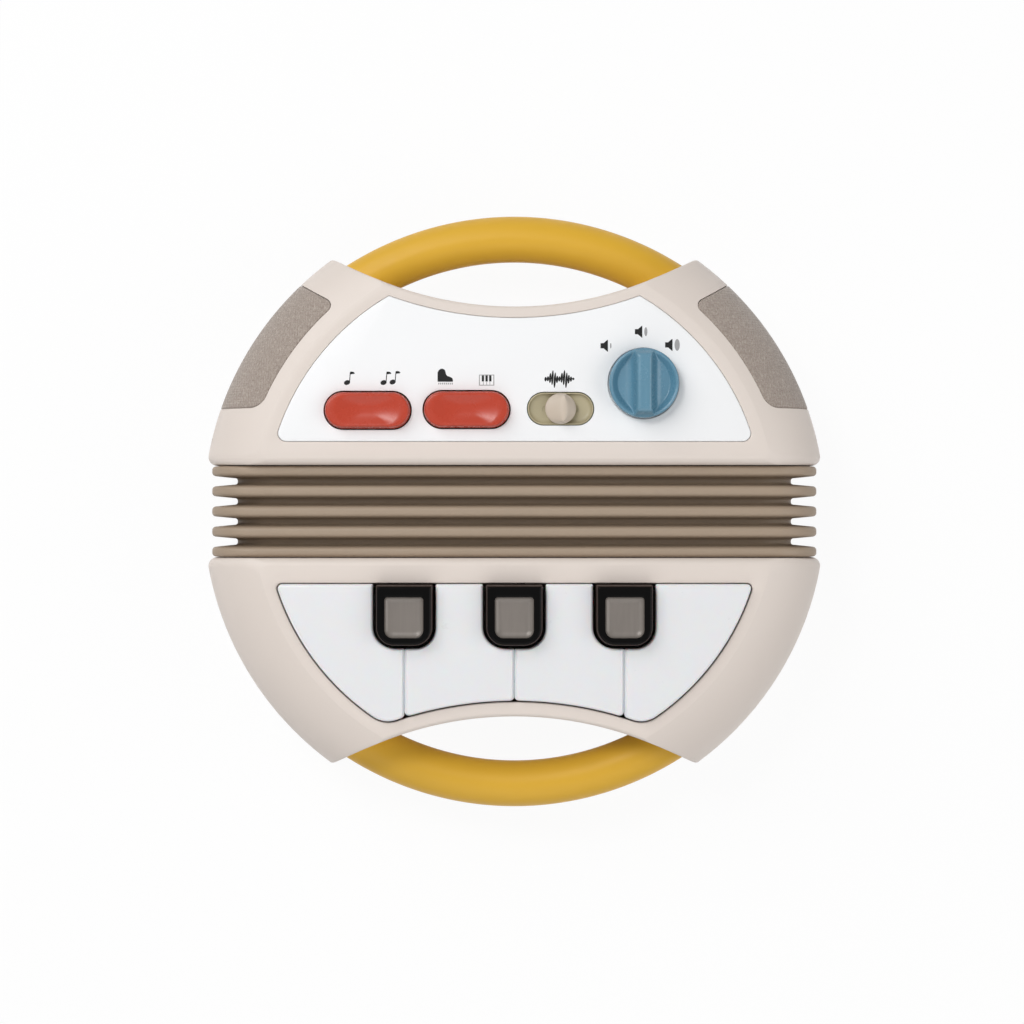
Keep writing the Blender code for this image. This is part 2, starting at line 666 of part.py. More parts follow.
def back_bosses(name, side):
    """Screw bosses that stand in the back shell, up to the handle or the seam."""
    handle_low = SEAM_Z - HANDLE_TUBE - GAP
    tops = [handle_low, handle_low, SEAM_Z - GAP / 2, SEAM_Z - GAP / 2]
    places = screw_places(side)
    outer = BOSS_RADIUS + EPS
    return solid(name, [cylinder_rings(outer, p, WALL / 2, top) for p, top in zip(places, tops)])


def guide_bores(name, radius):
    """Cutter for the rods' and the cable's ways through the walls at the bellows."""
    spans = [(x, radius) for x in (-ROD_X, ROD_X)] + [(0.0, CABLE_RADIUS + 2 * GAP)]
    rows = []
    for side in (-1, 1):
        ends = (side * (BASE_Y - EPS), side * (BASE_Y + WALL + EPS))
        rows += [rod_rings([(size, y) for y in sorted(ends)], x) for x, size in spans]
    return solid(name, rows)


def cloth_patch(mirror, grow, proud, deep):
    """Rings of a patch that lies on the shoulder: its plan edges grown, between two offsets."""
    inner_turn = math.acos((CLOTH_RADIUS - grow - SHOULDER_CENTRE_R) / SHOULDER_WIDTH)
    low_z = CLOTH_LOW_Z - grow
    rows = 6
    columns = 8
    turns = [inner_turn * (1 - i / rows) for i in range(rows + 1)]
    profile = [(shoulder(turn), turn) for turn in turns] + [((DISC_RADIUS, low_z), 0.0)]
    cut = CUT_RADIUS + CLOTH_CUT_MARGIN - grow
    base = CLOTH_BASE_Y - grow
    sheets = []
    for offset in (proud, -deep):
        sheet = []
        for (radius, z), turn in profile:
            from_edge = radius - (CLOTH_RADIUS - grow)
            trim = edge_round(CLOTH_CORNER, from_edge) if z > SHOULDER_CENTRE_Z else 0.0
            first = math.asin((base + trim) / radius)
            last = math.asin(between_arcs(radius, cut + trim)[1] / radius)
            reach = radius + offset * math.cos(turn)
            line = arc((0, 0), reach, first, last, columns)
            sheet.append([(mirror * x, y, z + offset * math.sin(turn)) for x, y in line])
        sheets.append(sheet)
    top, bottom = sheets
    return [above + list(reversed(below)) for above, below in zip(top, bottom)]


def sound_slots(name):
    """Cutter for the slots through both shoulders under the cloth."""
    middle = shoulder(CREASE_ANGLE * 0.42)
    rows = []
    for mirror in (-1, 1):
        for i in range(SLOT_COUNT):
            swing = math.radians(26 + 5.2 * i)
            out = Vector((mirror * math.cos(swing), math.sin(swing), 0))
            sideways = Vector((-out.y, out.x, 0)) * SLOT_WIDTH / 2
            through = (out + Vector((0, 0, 1))).normalized() * 2 * WALL
            length = (out - Vector((0, 0, 1))).normalized() * SLOT_LENGTH / 2
            centre = out * middle[0] + Vector((0, 0, middle[1]))
            ends = []
            for push in (-1, 1):
                at = centre + through * push
                low, high = at - length, at + length
                corners = (low - sideways, low + sideways, high + sideways, high - sideways)
                ends.append([tuple(corner) for corner in corners])
            rows.append(ends)
    return solid(name, rows)


def add_upper_front(materials):
    """Front shell of the upper half, with the cloth's recesses and sound slots."""
    shell = solid("upper_front_shell", [upper_front_rings()], materials["housing"], joined=True)
    combine(shell, front_bosses("upper_front_bosses", 1), "UNION")
    combine(shell, screw_bores("upper_front_bores", 1), "DIFFERENCE")
    combine(shell, solid("upper_front_handle_way", [handle_rings(1, HANDLE_TUBE + GAP)]), "DIFFERENCE")
    combine(shell, guide_bores("upper_front_guide_way", ROD_RADIUS + GAP), "DIFFERENCE")
    recess_depth = CLOTH_THICKNESS + GAP
    recesses = [cloth_patch(mirror, GAP, CUTTER_RISE, recess_depth) for mirror in (-1, 1)]
    combine(shell, solid("cloth_recesses", recesses, strips=True), "DIFFERENCE")
    combine(shell, sound_slots("sound_slots"), "DIFFERENCE")


def battery_box_size():
    """Low and high plan corners of the battery compartment."""
    half_row = BATTERY_PITCH * BATTERY_COUNT / 2
    left = BATTERY_LEFT - CONTACT_THICKNESS - 2 * GAP
    right = BATTERY_LEFT + BATTERY_LENGTH + SPRING_LENGTH + CONTACT_THICKNESS + 3 * GAP
    return (left, BATTERY_ROW_Y - half_row), (right, BATTERY_ROW_Y + half_row)


def door_size():
    """Low and high plan corners of the battery door: the compartment and room for its screw."""
    low, high = battery_box_size()
    return (low[0] - DOOR_LIP, low[1] - DOOR_LIP), (high[0] + DOOR_SCREW_ROOM, high[1] + DOOR_LIP)


def grown(size, by):
    """A rectangle's corners moved outwards."""
    (x0, y0), (x1, y1) = size
    return (x0 - by, y0 - by), (x1 + by, y1 + by)


def door_screw_place():
    """The door's screw, beside the compartment."""
    high = battery_box_size()[1]
    return high[0] + DOOR_SCREW_ROOM / 2, BATTERY_ROW_Y


def board_posts():
    """Posts under the main circuit board's corners."""
    edge = 2 * POST_RADIUS
    left, right = MAIN_BOARD_LEFT + edge, MAIN_BOARD_RIGHT - edge
    near, far = MAIN_BOARD_NEAR + edge, MAIN_BOARD_FAR - POST_RADIUS
    return [(left, near), (right, near), (left + 2 * edge, far), (right - edge, far)]


def speaker_place():
    """Middle of the right-hand speaker."""
    y = BASE_Y + SPEAKER_BASE_MARGIN
    return math.sqrt((DISC_RADIUS - SPEAKER_INSET) ** 2 - y**2), y


def speaker_posts():
    """Posts under both ends of each speaker's flange."""
    reach = SPEAKER_RADIUS + SPEAKER_POST / 4
    x, y = speaker_place()
    return [(sign * x, y + end * reach) for sign in (-1, 1) for end in (-1, 1)]


def saddles(name, side, stations, half_width):
    """Upright ribs under the guide rods or bushes, up to the seam."""
    rows = []
    for x in (-ROD_X, ROD_X):
        for station in stations:
            low = (x - half_width, side * station - SADDLE_THICKNESS / 2)
            high = (x + half_width, side * station + SADDLE_THICKNESS / 2)
            outline = rectangle(low, high)
            rows.append([level(outline, WALL / 2), level(outline, SEAM_Z - GAP / 2)])
    return solid(name, rows)


def add_upper_back(materials):
    """Back shell of the upper half, with the battery box and the posts inside."""
    shell = solid("upper_back_shell", [back_rings(1)], materials["housing"], joined=False)
    box = battery_box_size()
    door = door_size()
    box_top = DOOR_THICKNESS + 2 * BATTERY_RADIUS + 3 * GAP
    combine(shell, back_bosses("upper_back_bosses", 1), "UNION")
    posts = [cylinder_rings(POST_RADIUS, p, WALL / 2, MAIN_BOARD_Z - GAP, 8) for p in board_posts()]
    flange = SPEAKER_TOP - SPEAKER_FLANGE - GAP
    posts += [cylinder_rings(SPEAKER_POST, p, WALL / 2, flange, 8) for p in speaker_posts()]
    combine(shell, solid("upper_posts", posts), "UNION")
    combine(shell, saddles("upper_saddles", 1, [ROD_UPPER_END - SADDLE_INSET], ROD_RADIUS + WALL), "UNION")
    frame = rectangle(*grown(door, BOX_WALL))
    walls = rectangle(*grown(box, BOX_WALL))
    frame_rings = [level(frame, WALL / 2), level(frame, DOOR_THICKNESS + DOOR_RIM)]
    wall_rings = [level(walls, WALL), level(walls, box_top + BOX_WALL)]
    combine(shell, solid("door_frame", [frame_rings]), "UNION")
    combine(shell, solid("battery_walls", [wall_rings]), "UNION")
    pocket = rectangle(*grown(door, GAP))
    pocket_rings = [level(pocket, -EPS), level(pocket, DOOR_THICKNESS + GAP)]
    box_rings = [level(rectangle(*box), -2 * EPS), level(rectangle(*box), box_top)]
    combine(shell, solid("door_pocket", [pocket_rings]), "DIFFERENCE")
    combine(shell, solid("battery_space", [box_rings]), "DIFFERENCE")
    deep = DOOR_THICKNESS + DOOR_SCREW_LENGTH + EPS
    pilot = cylinder_rings(SCREW_RADIUS + GAP, door_screw_place(), 0, deep)
    stub = cylinder_rings(BOSS_RADIUS, door_screw_place(), DOOR_THICKNESS + EPS, deep + EPS)
    combine(shell, solid("door_boss", [stub]), "UNION")
    combine(shell, solid("door_pilot", [pilot]), "DIFFERENCE")
    combine(shell, screw_bores("upper_back_bores", 1), "DIFFERENCE")
    combine(shell, solid("upper_back_handle_way", [handle_rings(1, HANDLE_TUBE + GAP)]), "DIFFERENCE")
    combine(shell, guide_bores("upper_back_guide_way", ROD_RADIUS + GAP), "DIFFERENCE")
    span = [(ROD_RADIUS + GAP, BASE_Y + 2 * WALL), (ROD_RADIUS + GAP, ROD_UPPER_END + EPS)]
    ways = [rod_rings(span, x) for x in (-ROD_X, ROD_X)]
    combine(shell, solid("upper_saddle_ways", ways), "DIFFERENCE")


def add_lower_front(materials):
    """Front shell of the lower half, with the key opening and the pivot's brackets."""
    shell = solid("lower_front_shell", [lower_front_rings()], materials["housing"], joined=True)
    combine(shell, front_bosses("lower_front_bosses", -1), "UNION")
    reach = CLIP_RADIUS + GAP
    profile = rectangle((PIVOT_Y - CLIP_RADIUS, PIVOT_Z - reach), (-BASE_Y - WALL / 2, CEILING_Z + EPS))
    brackets = []
    for sign in (-1, 1):
        ends = sorted((sign * (PIVOT_HALF_LENGTH - WALL), sign * (PIVOT_HALF_LENGTH + WALL)))
        brackets.append([across(profile, x) for x in ends])
    combine(shell, solid("pivot_brackets", brackets), "UNION")
    bore = circle(PIVOT_RADIUS + GAP, (PIVOT_Y, PIVOT_Z))
    ends = (-PIVOT_HALF_LENGTH - GAP, PIVOT_HALF_LENGTH + GAP)
    combine(shell, solid("pivot_way", [[across(bore, x) for x in ends]]), "DIFFERENCE")
    combine(shell, screw_bores("lower_front_bores", -1), "DIFFERENCE")
    combine(shell, solid("lower_front_handle_way", [handle_rings(-1, HANDLE_TUBE + GAP)]), "DIFFERENCE")
    combine(shell, guide_bores("lower_front_guide_way", ROD_RADIUS + 2 * GAP), "DIFFERENCE")


def key_board_posts():
    """Posts under the keyboard's circuit board."""
    near = KEY_OPENING_BASE + KEY_BOARD_BASE_MARGIN + 3 * POST_RADIUS
    far = CUT_CENTRE_Y - KEY_CUT - KEY_BOARD_MARGIN - 2 * POST_RADIUS
    spots = ((ROD_X + POST_FROM_ROD, near), (KEY_PITCH / 2 + LEVER_WIDTH / 2, far))
    return [(sign * x, -y) for x, y in spots for sign in (-1, 1)]


def add_lower_back(materials):
    """Back shell of the lower half, with saddles for the bushes and posts for the board."""
    shell = solid("lower_back_shell", [back_rings(-1)], materials["housing"])
    combine(shell, back_bosses("lower_back_bosses", -1), "UNION")
    posts = [cylinder_rings(POST_RADIUS, p, WALL / 2, KEY_BOARD_Z - GAP, 8) for p in key_board_posts()]
    combine(shell, solid("lower_posts", posts), "UNION")
    bush = ROD_RADIUS + GAP + BUSH_WALL
    stations = [BUSH_START + SADDLE_INSET, BUSH_END - SADDLE_INSET]
    combine(shell, saddles("lower_saddles", -1, stations, bush + WALL), "UNION")
    span = [(bush + GAP, -BUSH_END - EPS), (bush + GAP, -BUSH_START + GAP)]
    ways = [rod_rings(span, x) for x in (-ROD_X, ROD_X)]
    combine(shell, solid("bush_ways", ways), "DIFFERENCE")
    combine(shell, screw_bores("lower_back_bores", -1), "DIFFERENCE")
    combine(shell, solid("lower_back_handle_way", [handle_rings(-1, HANDLE_TUBE + GAP)]), "DIFFERENCE")
    combine(shell, guide_bores("lower_back_guide_way", ROD_RADIUS + 2 * GAP), "DIFFERENCE")


def add_handle(name, side, materials):
    """A tube handle, its ends drilled for the screws that hold it."""
    handle = solid(name, [handle_rings(side, HANDLE_TUBE)], materials["mustard"])
    combine(handle, screw_bores(f"{name}_bores", side), "DIFFERENCE")


def bellows_ring(inset, y):
    """The bellows' outline at one Y: a flat oval with round corners, drawn in by the inset."""
    low = BELLOWS_BACK + inset
    high = DEPTH - BELLOWS_DROP - inset
    half = RIB_HALF_WIDTH - inset
    radius = BELLOWS_CORNER - inset * 0.5
    corners = [(-half, low, radius), (half, low, radius), (half, high, radius), (-half, high, radius)]
    return along(rounded(corners, 5), y)


def add_bellows(materials):
    """The ribbed sleeve between the halves, with its bore."""
    rings = []
    for i in range(RIB_COUNT):
        middle = (i - (RIB_COUNT - 1) / 2) * RIB_PITCH
        half = RIB_THICKNESS / 2
        rings.append(bellows_ring(RIB_EDGE, middle - half))
        rings.append(bellows_ring(0, middle - half + RIB_EDGE))
        rings.append(bellows_ring(0, middle + half - RIB_EDGE))
        rings.append(bellows_ring(RIB_EDGE, middle + half))
        if i < RIB_COUNT - 1:
            valley = middle + RIB_PITCH / 2
            rings.append(bellows_ring(RIB_DEPTH, valley - VALLEY_WIDTH / 2))
            rings.append(bellows_ring(RIB_DEPTH, valley + VALLEY_WIDTH / 2))
    end = (RIB_COUNT - 1) / 2 * RIB_PITCH + RIB_THICKNESS / 2
    rings.append(bellows_ring(RIB_DEPTH + BELLOWS_SKIN, end))
    rings.append(bellows_ring(RIB_DEPTH + BELLOWS_SKIN, -end))
    solid("bellows", [rings], materials["rib"], joined=True)


def add_panel(materials):
    """The control panel, with holes for its controls."""
    rings = []
    for z, inset in ((PANEL_Z - PANEL_THICKNESS, 0), (PANEL_Z - PANEL_EDGE, 0), (PANEL_Z, PANEL_EDGE)):
        edges = (PANEL_RADIUS - inset, PANEL_BASE_Y + inset, PANEL_CUT + inset)
        rings.append(half_ring(1, *edges, z, PANEL_CORNER, PANEL_TIP))
    panel = solid("control_panel", [rings], materials["panel"])
    low, high = LEDGE_Z, PANEL_Z + EPS
    holes = []
    for place in ROCKER_PLACES.values():
        outline = stadium(ROCKER_LENGTH, ROCKER_WIDTH, place, -ROCKER_GAP)
        holes.append([level(outline, z) for z in (low, high)])
    bed = stadium(SLIDER_BED_LENGTH + 2 * GAP, SLIDER_BED_WIDTH + 2 * GAP, SLIDER_PLACE)
    holes.append([level(bed, z) for z in (low, high)])
    holes.append(cylinder_rings(KNOB_SHAFT + 3 * GAP, KNOB_PLACE, low, high))
    combine(panel, solid("panel_holes", holes), "DIFFERENCE")


def add_rocker(side, place, materials):
    """A rocker cap with a shallow dish, on two pins, and its switch below."""
    bottom = ROCKER_PIVOT_Z - ROCKER_PIN
    top = PANEL_Z + ROCKER_RISE
    edge = ROCKER_EDGE
    profile = [(0, bottom), (0, top - 1.3 * edge), (0.3 * edge, top - 0.45 * edge), (edge, top),
               (2 * edge, top), (3 * edge, top - ROCKER_DISH)]
    rings = [level(stadium(ROCKER_LENGTH, ROCKER_WIDTH, place, inset), z) for inset, z in profile]
    pivot = (place[0], place[1], ROCKER_PIVOT_Z)
    cap = solid(f"rocker_{side}", [rings], materials["rocker"], origin=pivot)
    ear_low = ROCKER_WIDTH / 2 + GAP
    ear_high = ear_low + ROCKER_EAR
    pin = circle(ROCKER_PIN, (place[0], ROCKER_PIVOT_Z), 8)
    pin_rings = [along(pin, place[1] + reach) for reach in (-ear_high - GAP, ear_high + GAP)]
    combine(cap, solid(f"rocker_pins_{side}", [pin_rings]), "UNION")
    base_high = ROCKER_PIVOT_Z - SWITCH_DROP
    low = (place[0] - SWITCH_LENGTH / 2, place[1] - ear_high)
    high = (place[0] + SWITCH_LENGTH / 2, place[1] + ear_high)
    rings = [level(rectangle(low, high), z) for z in (BOARD_TOP + GAP, base_high)]
    switch = solid(f"rocker_switch_{side}", [rings], materials["dark"])
    combine(switch, solid(f"rocker_ears_{side}", rocker_ears(place, ear_low, ear_high)), "UNION")


def rocker_ears(place, near, far):
    """Two ears that stand up from a rocker's switch, each with an open seat for a pin."""
    seat = arc((place[0], ROCKER_PIVOT_Z), ROCKER_PIN + GAP, 0.0, -math.pi, 5)
    foot = ROCKER_PIVOT_Z - SWITCH_DROP - EPS
    rim = ROCKER_PIVOT_Z + EAR_RISE
    left, right = place[0] - EAR_LENGTH / 2, place[0] + EAR_LENGTH / 2
    profile = [(left, foot), (right, foot), (right, rim), (seat[0][0], rim)] + seat
    profile += [(seat[-1][0], rim), (left, rim)]
    spans = [(place[1] - far, place[1] - near), (place[1] + near, place[1] + far)]
    return [[along(profile, y) for y in span] for span in spans]


def add_slider(materials):
    """The slider's bed in the panel, its cap with a roof ridge, and the switch below."""
    x, y = SLIDER_PLACE
    switch_top = PANEL_Z - PANEL_THICKNESS - SLIDER_BED_DEPTH
    floor = PANEL_Z - SLIDER_RECESS
    profile = [(0, switch_top + GAP), (0, PANEL_Z - GAP), (GAP, PANEL_Z), (SLIDER_RIM, PANEL_Z),
               (SLIDER_RIM + GAP, floor)]
    size = (SLIDER_BED_LENGTH, SLIDER_BED_WIDTH)
    rings = [level(stadium(*size, SLIDER_PLACE, inset), z) for inset, z in profile]
    bed = solid("slider_bed", [rings], materials["olive"])
    reach = SLIDER_TRAVEL + SLIDER_STEM + GAP
    slot = rectangle((x - reach, y - SLIDER_STEM - GAP), (x + reach, y + SLIDER_STEM + GAP))
    slot_rings = [level(slot, switch_top - EPS), level(slot, PANEL_Z + EPS)]
    combine(bed, solid("bed_slot", [slot_rings]), "DIFFERENCE")
    end = reach + SLIDE_SWITCH_END
    body = rectangle((x - end, y - SLIDE_SWITCH_WIDTH / 2), (x + end, y + SLIDE_SWITCH_WIDTH / 2))
    body_rings = [level(body, BOARD_TOP + GAP), level(body, switch_top)]
    switch = solid("slide_switch", [body_rings], materials["dark"])
    groove = [level(slot, switch_top - SLIDER_STEM_DEPTH - GAP), level(slot, switch_top + EPS)]
    combine(switch, solid("switch_groove", [groove]), "DIFFERENCE")
    cap_low = floor + GAP
    rows = []
    for width, length, rise in ((0.78, 0.78, 0), (0.78, 0.78, 0.29), (1, 1, 0.29), (1, 1, 0.43),
                                (0.62, 0.95, 0.79), (0.2, 0.9, 1)):
        ring = circle(SLIDER_CAP_RADIUS, sides=16)
        z = cap_low + rise * SLIDER_CAP_HEIGHT
        rows.append([(x + u * width, y + v * length, z) for u, v in ring])
    cap = solid("slider_cap", [rows], materials["beige"], sharp=50, origin=(x, y, cap_low))
    stem = rectangle((x - SLIDER_STEM, y - SLIDER_STEM), (x + SLIDER_STEM, y + SLIDER_STEM))
    stem_rings = [level(stem, switch_top - SLIDER_STEM_DEPTH), level(stem, cap_low + EPS)]
    combine(cap, solid("slider_stem", [stem_rings]), "UNION")


def add_knob(materials):
    """The volume knob: a disc scooped out on both sides of a grip bar, on a potentiometer."""
    x, y = KNOB_PLACE
    low = PANEL_Z + GAP
    top = low + KNOB_HEIGHT
    disc = [(KNOB_RADIUS, low), (KNOB_RADIUS, top - KNOB_EDGE), (KNOB_RADIUS - KNOB_EDGE, top)]
    knob = solid("volume_knob", [turned(disc, KNOB_PLACE, 32)], materials["blue"], origin=(x, y, low))
    right = [(x + out * KNOB_RADIUS, top - down * KNOB_HEIGHT) for out, down in KNOB_SCOOP]
    left = [(2 * x - u, z) for u, z in reversed(right)]
    outline = left + right + [(right[-1][0], top + EPS), (left[0][0], top + EPS)]
    ends = (y - KNOB_RADIUS - EPS, y + KNOB_RADIUS + EPS)
    combine(knob, solid("knob_scoops", [[along(outline, end) for end in ends]]), "DIFFERENCE")
    bore_top = low + KNOB_BORE
    bore = cylinder_rings(KNOB_SHAFT + GAP, KNOB_PLACE, low - EPS, bore_top)
    combine(knob, solid("knob_bore", [bore]), "DIFFERENCE")
    case_top = PANEL_Z - PANEL_THICKNESS - POT_DROP
    profile = [(POT_RADIUS, BOARD_TOP + GAP), (POT_RADIUS, case_top), (KNOB_SHAFT, case_top),
               (KNOB_SHAFT, bore_top - GAP)]
    solid("volume_potentiometer", [turned(profile, KNOB_PLACE, 14)], materials["dark"])


def add_speakers(materials):
    """Speaker cloth on each shoulder and the driver behind it."""
    x, y = speaker_place()
    for word, mirror in (("left", -1), ("right", 1)):
        rings = cloth_patch(mirror, 0.0, 0.0, CLOTH_THICKNESS)
        solid(f"speaker_cloth_{word}", [rings], materials["cloth"], strips=True, sharp=60)
        low = SPEAKER_TOP - SPEAKER_DEPTH
        flange = SPEAKER_TOP - SPEAKER_FLANGE
        rim = SPEAKER_RADIUS - 2 * SPEAKER_FLANGE
        profile = [(MAGNET_RADIUS, low), (MAGNET_RADIUS, low + MAGNET_HEIGHT),
                   (0.8 * MAGNET_RADIUS, low + MAGNET_HEIGHT), (rim, flange), (SPEAKER_RADIUS, flange),
                   (SPEAKER_RADIUS, SPEAKER_TOP), (SPEAKER_RADIUS - SPEAKER_POST, SPEAKER_TOP),
                   (CONE_RADIUS, SPEAKER_TOP - CONE_DEPTH)]
        solid(f"speaker_{word}", [turned(profile, (mirror * x, y), 12)], materials["dark"])


def add_boards(materials):
    """The main circuit board behind the panel and the keyboard's board with its rubber domes."""
    outline = rectangle((MAIN_BOARD_LEFT, MAIN_BOARD_NEAR), (MAIN_BOARD_RIGHT, MAIN_BOARD_FAR))
    solid("main_board", [[level(outline, MAIN_BOARD_Z), level(outline, BOARD_TOP)]], materials["board"])
    base = KEY_OPENING_BASE + KEY_BOARD_BASE_MARGIN
    edges = (KEY_OPENING_RADIUS - KEY_BOARD_MARGIN, base, KEY_CUT + KEY_BOARD_MARGIN)
    heights = (KEY_BOARD_Z, KEY_BOARD_Z + BOARD_THICKNESS)
    solid("key_board", [[half_ring(-1, *edges, z) for z in heights]], materials["board"])
    low = KEY_BOARD_Z + BOARD_THICKNESS + GAP
    high = low + DOME_SHEET
    inner = (edges[0] - EPS, edges[1] + EPS, edges[2] + EPS)
    sheet = solid("key_dome_sheet", [[half_ring(-1, *inner, z) for z in (low, high)]], materials["rubber"])
    profile = [(DOME_RADIUS, low + DOME_SHEET / 2), (DOME_RADIUS, high), (0.6 * DOME_RADIUS, DOME_Z)]
    domes = [turned(profile, (x, -foot), 8) for x, foot, _ in lever_places()]
    combine(sheet, solid("dome_shapes", domes), "UNION")


def lever_places():
    """(x, distance of the foot from the bellows' middle, name) of each key's lever."""
    half = KEY_PITCH / 2
    whites = [(-OUTER_LEVER_X, OUTER_FOOT), (-half, WHITE_FOOT), (half, WHITE_FOOT),
              (OUTER_LEVER_X, OUTER_FOOT)]
    places = [(x, foot, f"white_key_{i}") for i, (x, foot) in enumerate(whites, start=1)]
    for i in range(3):
        places.append(((i - 1) * KEY_PITCH, BLACK_FOOT, f"black_key_{i + 1}"))
    return places


def lever_rings(x, foot, plate_top):
    """A key's lever: a snap hook round the pivot rod, an arm under the plate, a foot."""
    rear = -(KEY_OPENING_BASE + KEY_GAP)
    back = rear - KEY_SKIRT / 2
    top = plate_top - KEY_TOP / 2
    toe, heel = -foot - FOOT_LENGTH / 2, -foot + FOOT_LENGTH / 2
    mouth = math.radians(42)
    down = -math.pi / 2
    centre = (PIVOT_Y, PIVOT_Z)
    profile = arc(centre, CLIP_RADIUS, down + mouth, math.pi / 2, 6)
    profile += [(back, PIVOT_Z + CLIP_RADIUS), (back, top), (toe, top), (toe, FOOT_Z), (heel, FOOT_Z),
                (heel, PIVOT_Z + ARM_HALF_DEPTH), (rear, PIVOT_Z - ARM_HALF_DEPTH)]
    profile += arc(centre, CLIP_RADIUS, math.pi * 1.07, 1.5 * math.pi - mouth, 2)
    profile += arc(centre, PIVOT_RADIUS + GAP, 1.5 * math.pi - mouth, down + mouth, 8)
    return [across(profile, x - LEVER_WIDTH / 2), across(profile, x + LEVER_WIDTH / 2)]


def notch(centre_x, sign):
    """Half of the gap that a white key leaves round a black one, from its far end to its side."""
    reach = BLACK_WIDTH / 2 + KEY_GAP
    end = -(KEY_OPENING_BASE + KEY_GAP + BLACK_LENGTH + KEY_GAP)
    radius = BLACK_CORNER + KEY_GAP
    corner = (centre_x + sign * (reach - radius), end + radius)
    finish = 0.0 if sign > 0 else -math.pi
    return arc(corner, radius, -math.pi / 2, finish, 3)


def white_corners(outer):
    """Plan of a white key left of the middle: the outer one ends in the disc's arc."""
    rear = -(KEY_OPENING_BASE + KEY_GAP)
    half_gap = KEY_GAP / 2
    cut = KEY_CUT + KEY_GAP
    notch_end = rear - BLACK_LENGTH - KEY_GAP
    if outer:
        right = -KEY_PITCH - half_gap
        radius = KEY_OPENING_RADIUS - KEY_GAP
        top_turn = math.pi + math.asin(-rear / radius)
        tip_x, tip_y = between_arcs(KEY_OPENING_RADIUS - KEY_TIP, KEY_CUT + KEY_TIP)
        tip_turn = math.pi + math.atan2(tip_y, tip_x)
        cut_turn = math.tau + math.atan2(tip_y - CUT_CENTRE_Y, tip_x)
        side = arc((0, 0), radius, top_turn, tip_turn, 6)[:-1]
        side += arc((-tip_x, -tip_y), KEY_TIP - KEY_GAP, tip_turn, cut_turn, 4)
        low_left = side[-1][0]
        corners = [(*point, 0) for point in side]
        corners[0] = (*side[0], OUTER_CORNER)
        steps = 1
    else:
        right = -half_gap
        low_left = -KEY_PITCH + half_gap
        hook = list(reversed(notch(-KEY_PITCH, 1)))
        corners = [(*point, 0) for point in [(hook[0][0], rear)] + hook + [(low_left, notch_end)]]
        corners.append((low_left, -CUT_CENTRE_Y + math.sqrt(cut**2 - low_left**2), 0))
        steps = 5
    for i in range(1, steps + 1):
        x = low_left + (right - low_left) * i / steps
        corners.append((x, -CUT_CENTRE_Y + math.sqrt(cut**2 - x**2), 0))
    middle = -KEY_PITCH if outer else 0.0
    hook = notch(middle, -1)
    corners.append((right, notch_end, 0))
    corners += [(*point, 0) for point in hook]
    corners.append((hook[-1][0], rear, 0))
    return corners


def key_from(name, rings, lever, material):
    """A key: a cap joined to its lever, with its origin on the pivot."""
    key = solid(name, [rings], material, origin=(0.0, PIVOT_Y, PIVOT_Z))
    combine(key, solid(f"{name}_lever", [lever]), "UNION")


def add_white_keys(levers, materials):
    """Four white keys, the right-hand two mirrored from the left-hand ones."""
    edge = WHITE_EDGE
    profile = [(0, WHITE_Z - WHITE_THICKNESS), (0, WHITE_Z - edge), (0.3 * edge, WHITE_Z - 0.3 * edge),
               (edge, WHITE_Z)]
    for number, outer, mirror in ((1, True, 1), (2, False, 1), (3, False, -1), (4, True, -1)):
        corners = white_corners(outer)
        rings = []
        for inset, z in profile:
            rings.append([(x * mirror, y, z) for x, y in inset_rounded(corners, inset)])
        name = f"white_key_{number}"
        x, foot = levers[name]
        key_from(name, rings, lever_rings(x, foot, WHITE_Z), materials["ivory"])


def add_black_keys(levers, materials):
    """Three black keys with a thumb dish."""
    rear = -(KEY_OPENING_BASE + KEY_GAP)
    half = BLACK_WIDTH / 2
    wide = DISH_WIDTH / 2
    edge = BLACK_EDGE
    steps = [(KEY_SKIRT, BLACK_Z - 2 * KEY_TOP), (KEY_SKIRT, KEY_BOTTOM), (0, KEY_BOTTOM),
             (0.3 * edge, BLACK_Z - edge), (0.5 * edge, BLACK_Z - 0.3 * edge), (edge, BLACK_Z)]
    for number in (1, 2, 3):
        name = f"black_key_{number}"
        x, foot = levers[name]
        end = rear - BLACK_LENGTH
        plan = [(x - half, rear, BLACK_REAR_CORNER), (x - half, end, BLACK_CORNER),
                (x + half, end, BLACK_CORNER), (x + half, rear, BLACK_REAR_CORNER)]
        near, far = rear - DISH_START, rear - DISH_END
        dish = [(x - wide, near, DISH_REAR_CORNER), (x - wide, far, DISH_CORNER),
                (x + wide, far, DISH_CORNER), (x + wide, near, DISH_REAR_CORNER)]
        rings = [level(inset_rounded(plan, inset, 4), z) for inset, z in steps]
        rings.append(level(inset_rounded(dish, 0, 4), BLACK_Z))
        rings.append(level(inset_rounded(dish, DISH_DEPTH * 0.6, 4), BLACK_Z - DISH_DEPTH))
        key_from(name, rings, lever_rings(x, foot, BLACK_Z - 2 * KEY_TOP), materials["ebony"])


def add_keyboard(materials):
    """All seven keys and the rod that they hook onto."""
    levers = {name: (x, foot) for x, foot, name in lever_places()}
    add_white_keys(levers, materials)
    add_black_keys(levers, materials)
    ring = circle(PIVOT_RADIUS, (PIVOT_Y, PIVOT_Z), 10)
    ends = (-PIVOT_HALF_LENGTH, PIVOT_HALF_LENGTH)
    solid("key_pivot_rod", [[across(ring, x) for x in ends]], materials["steel"])


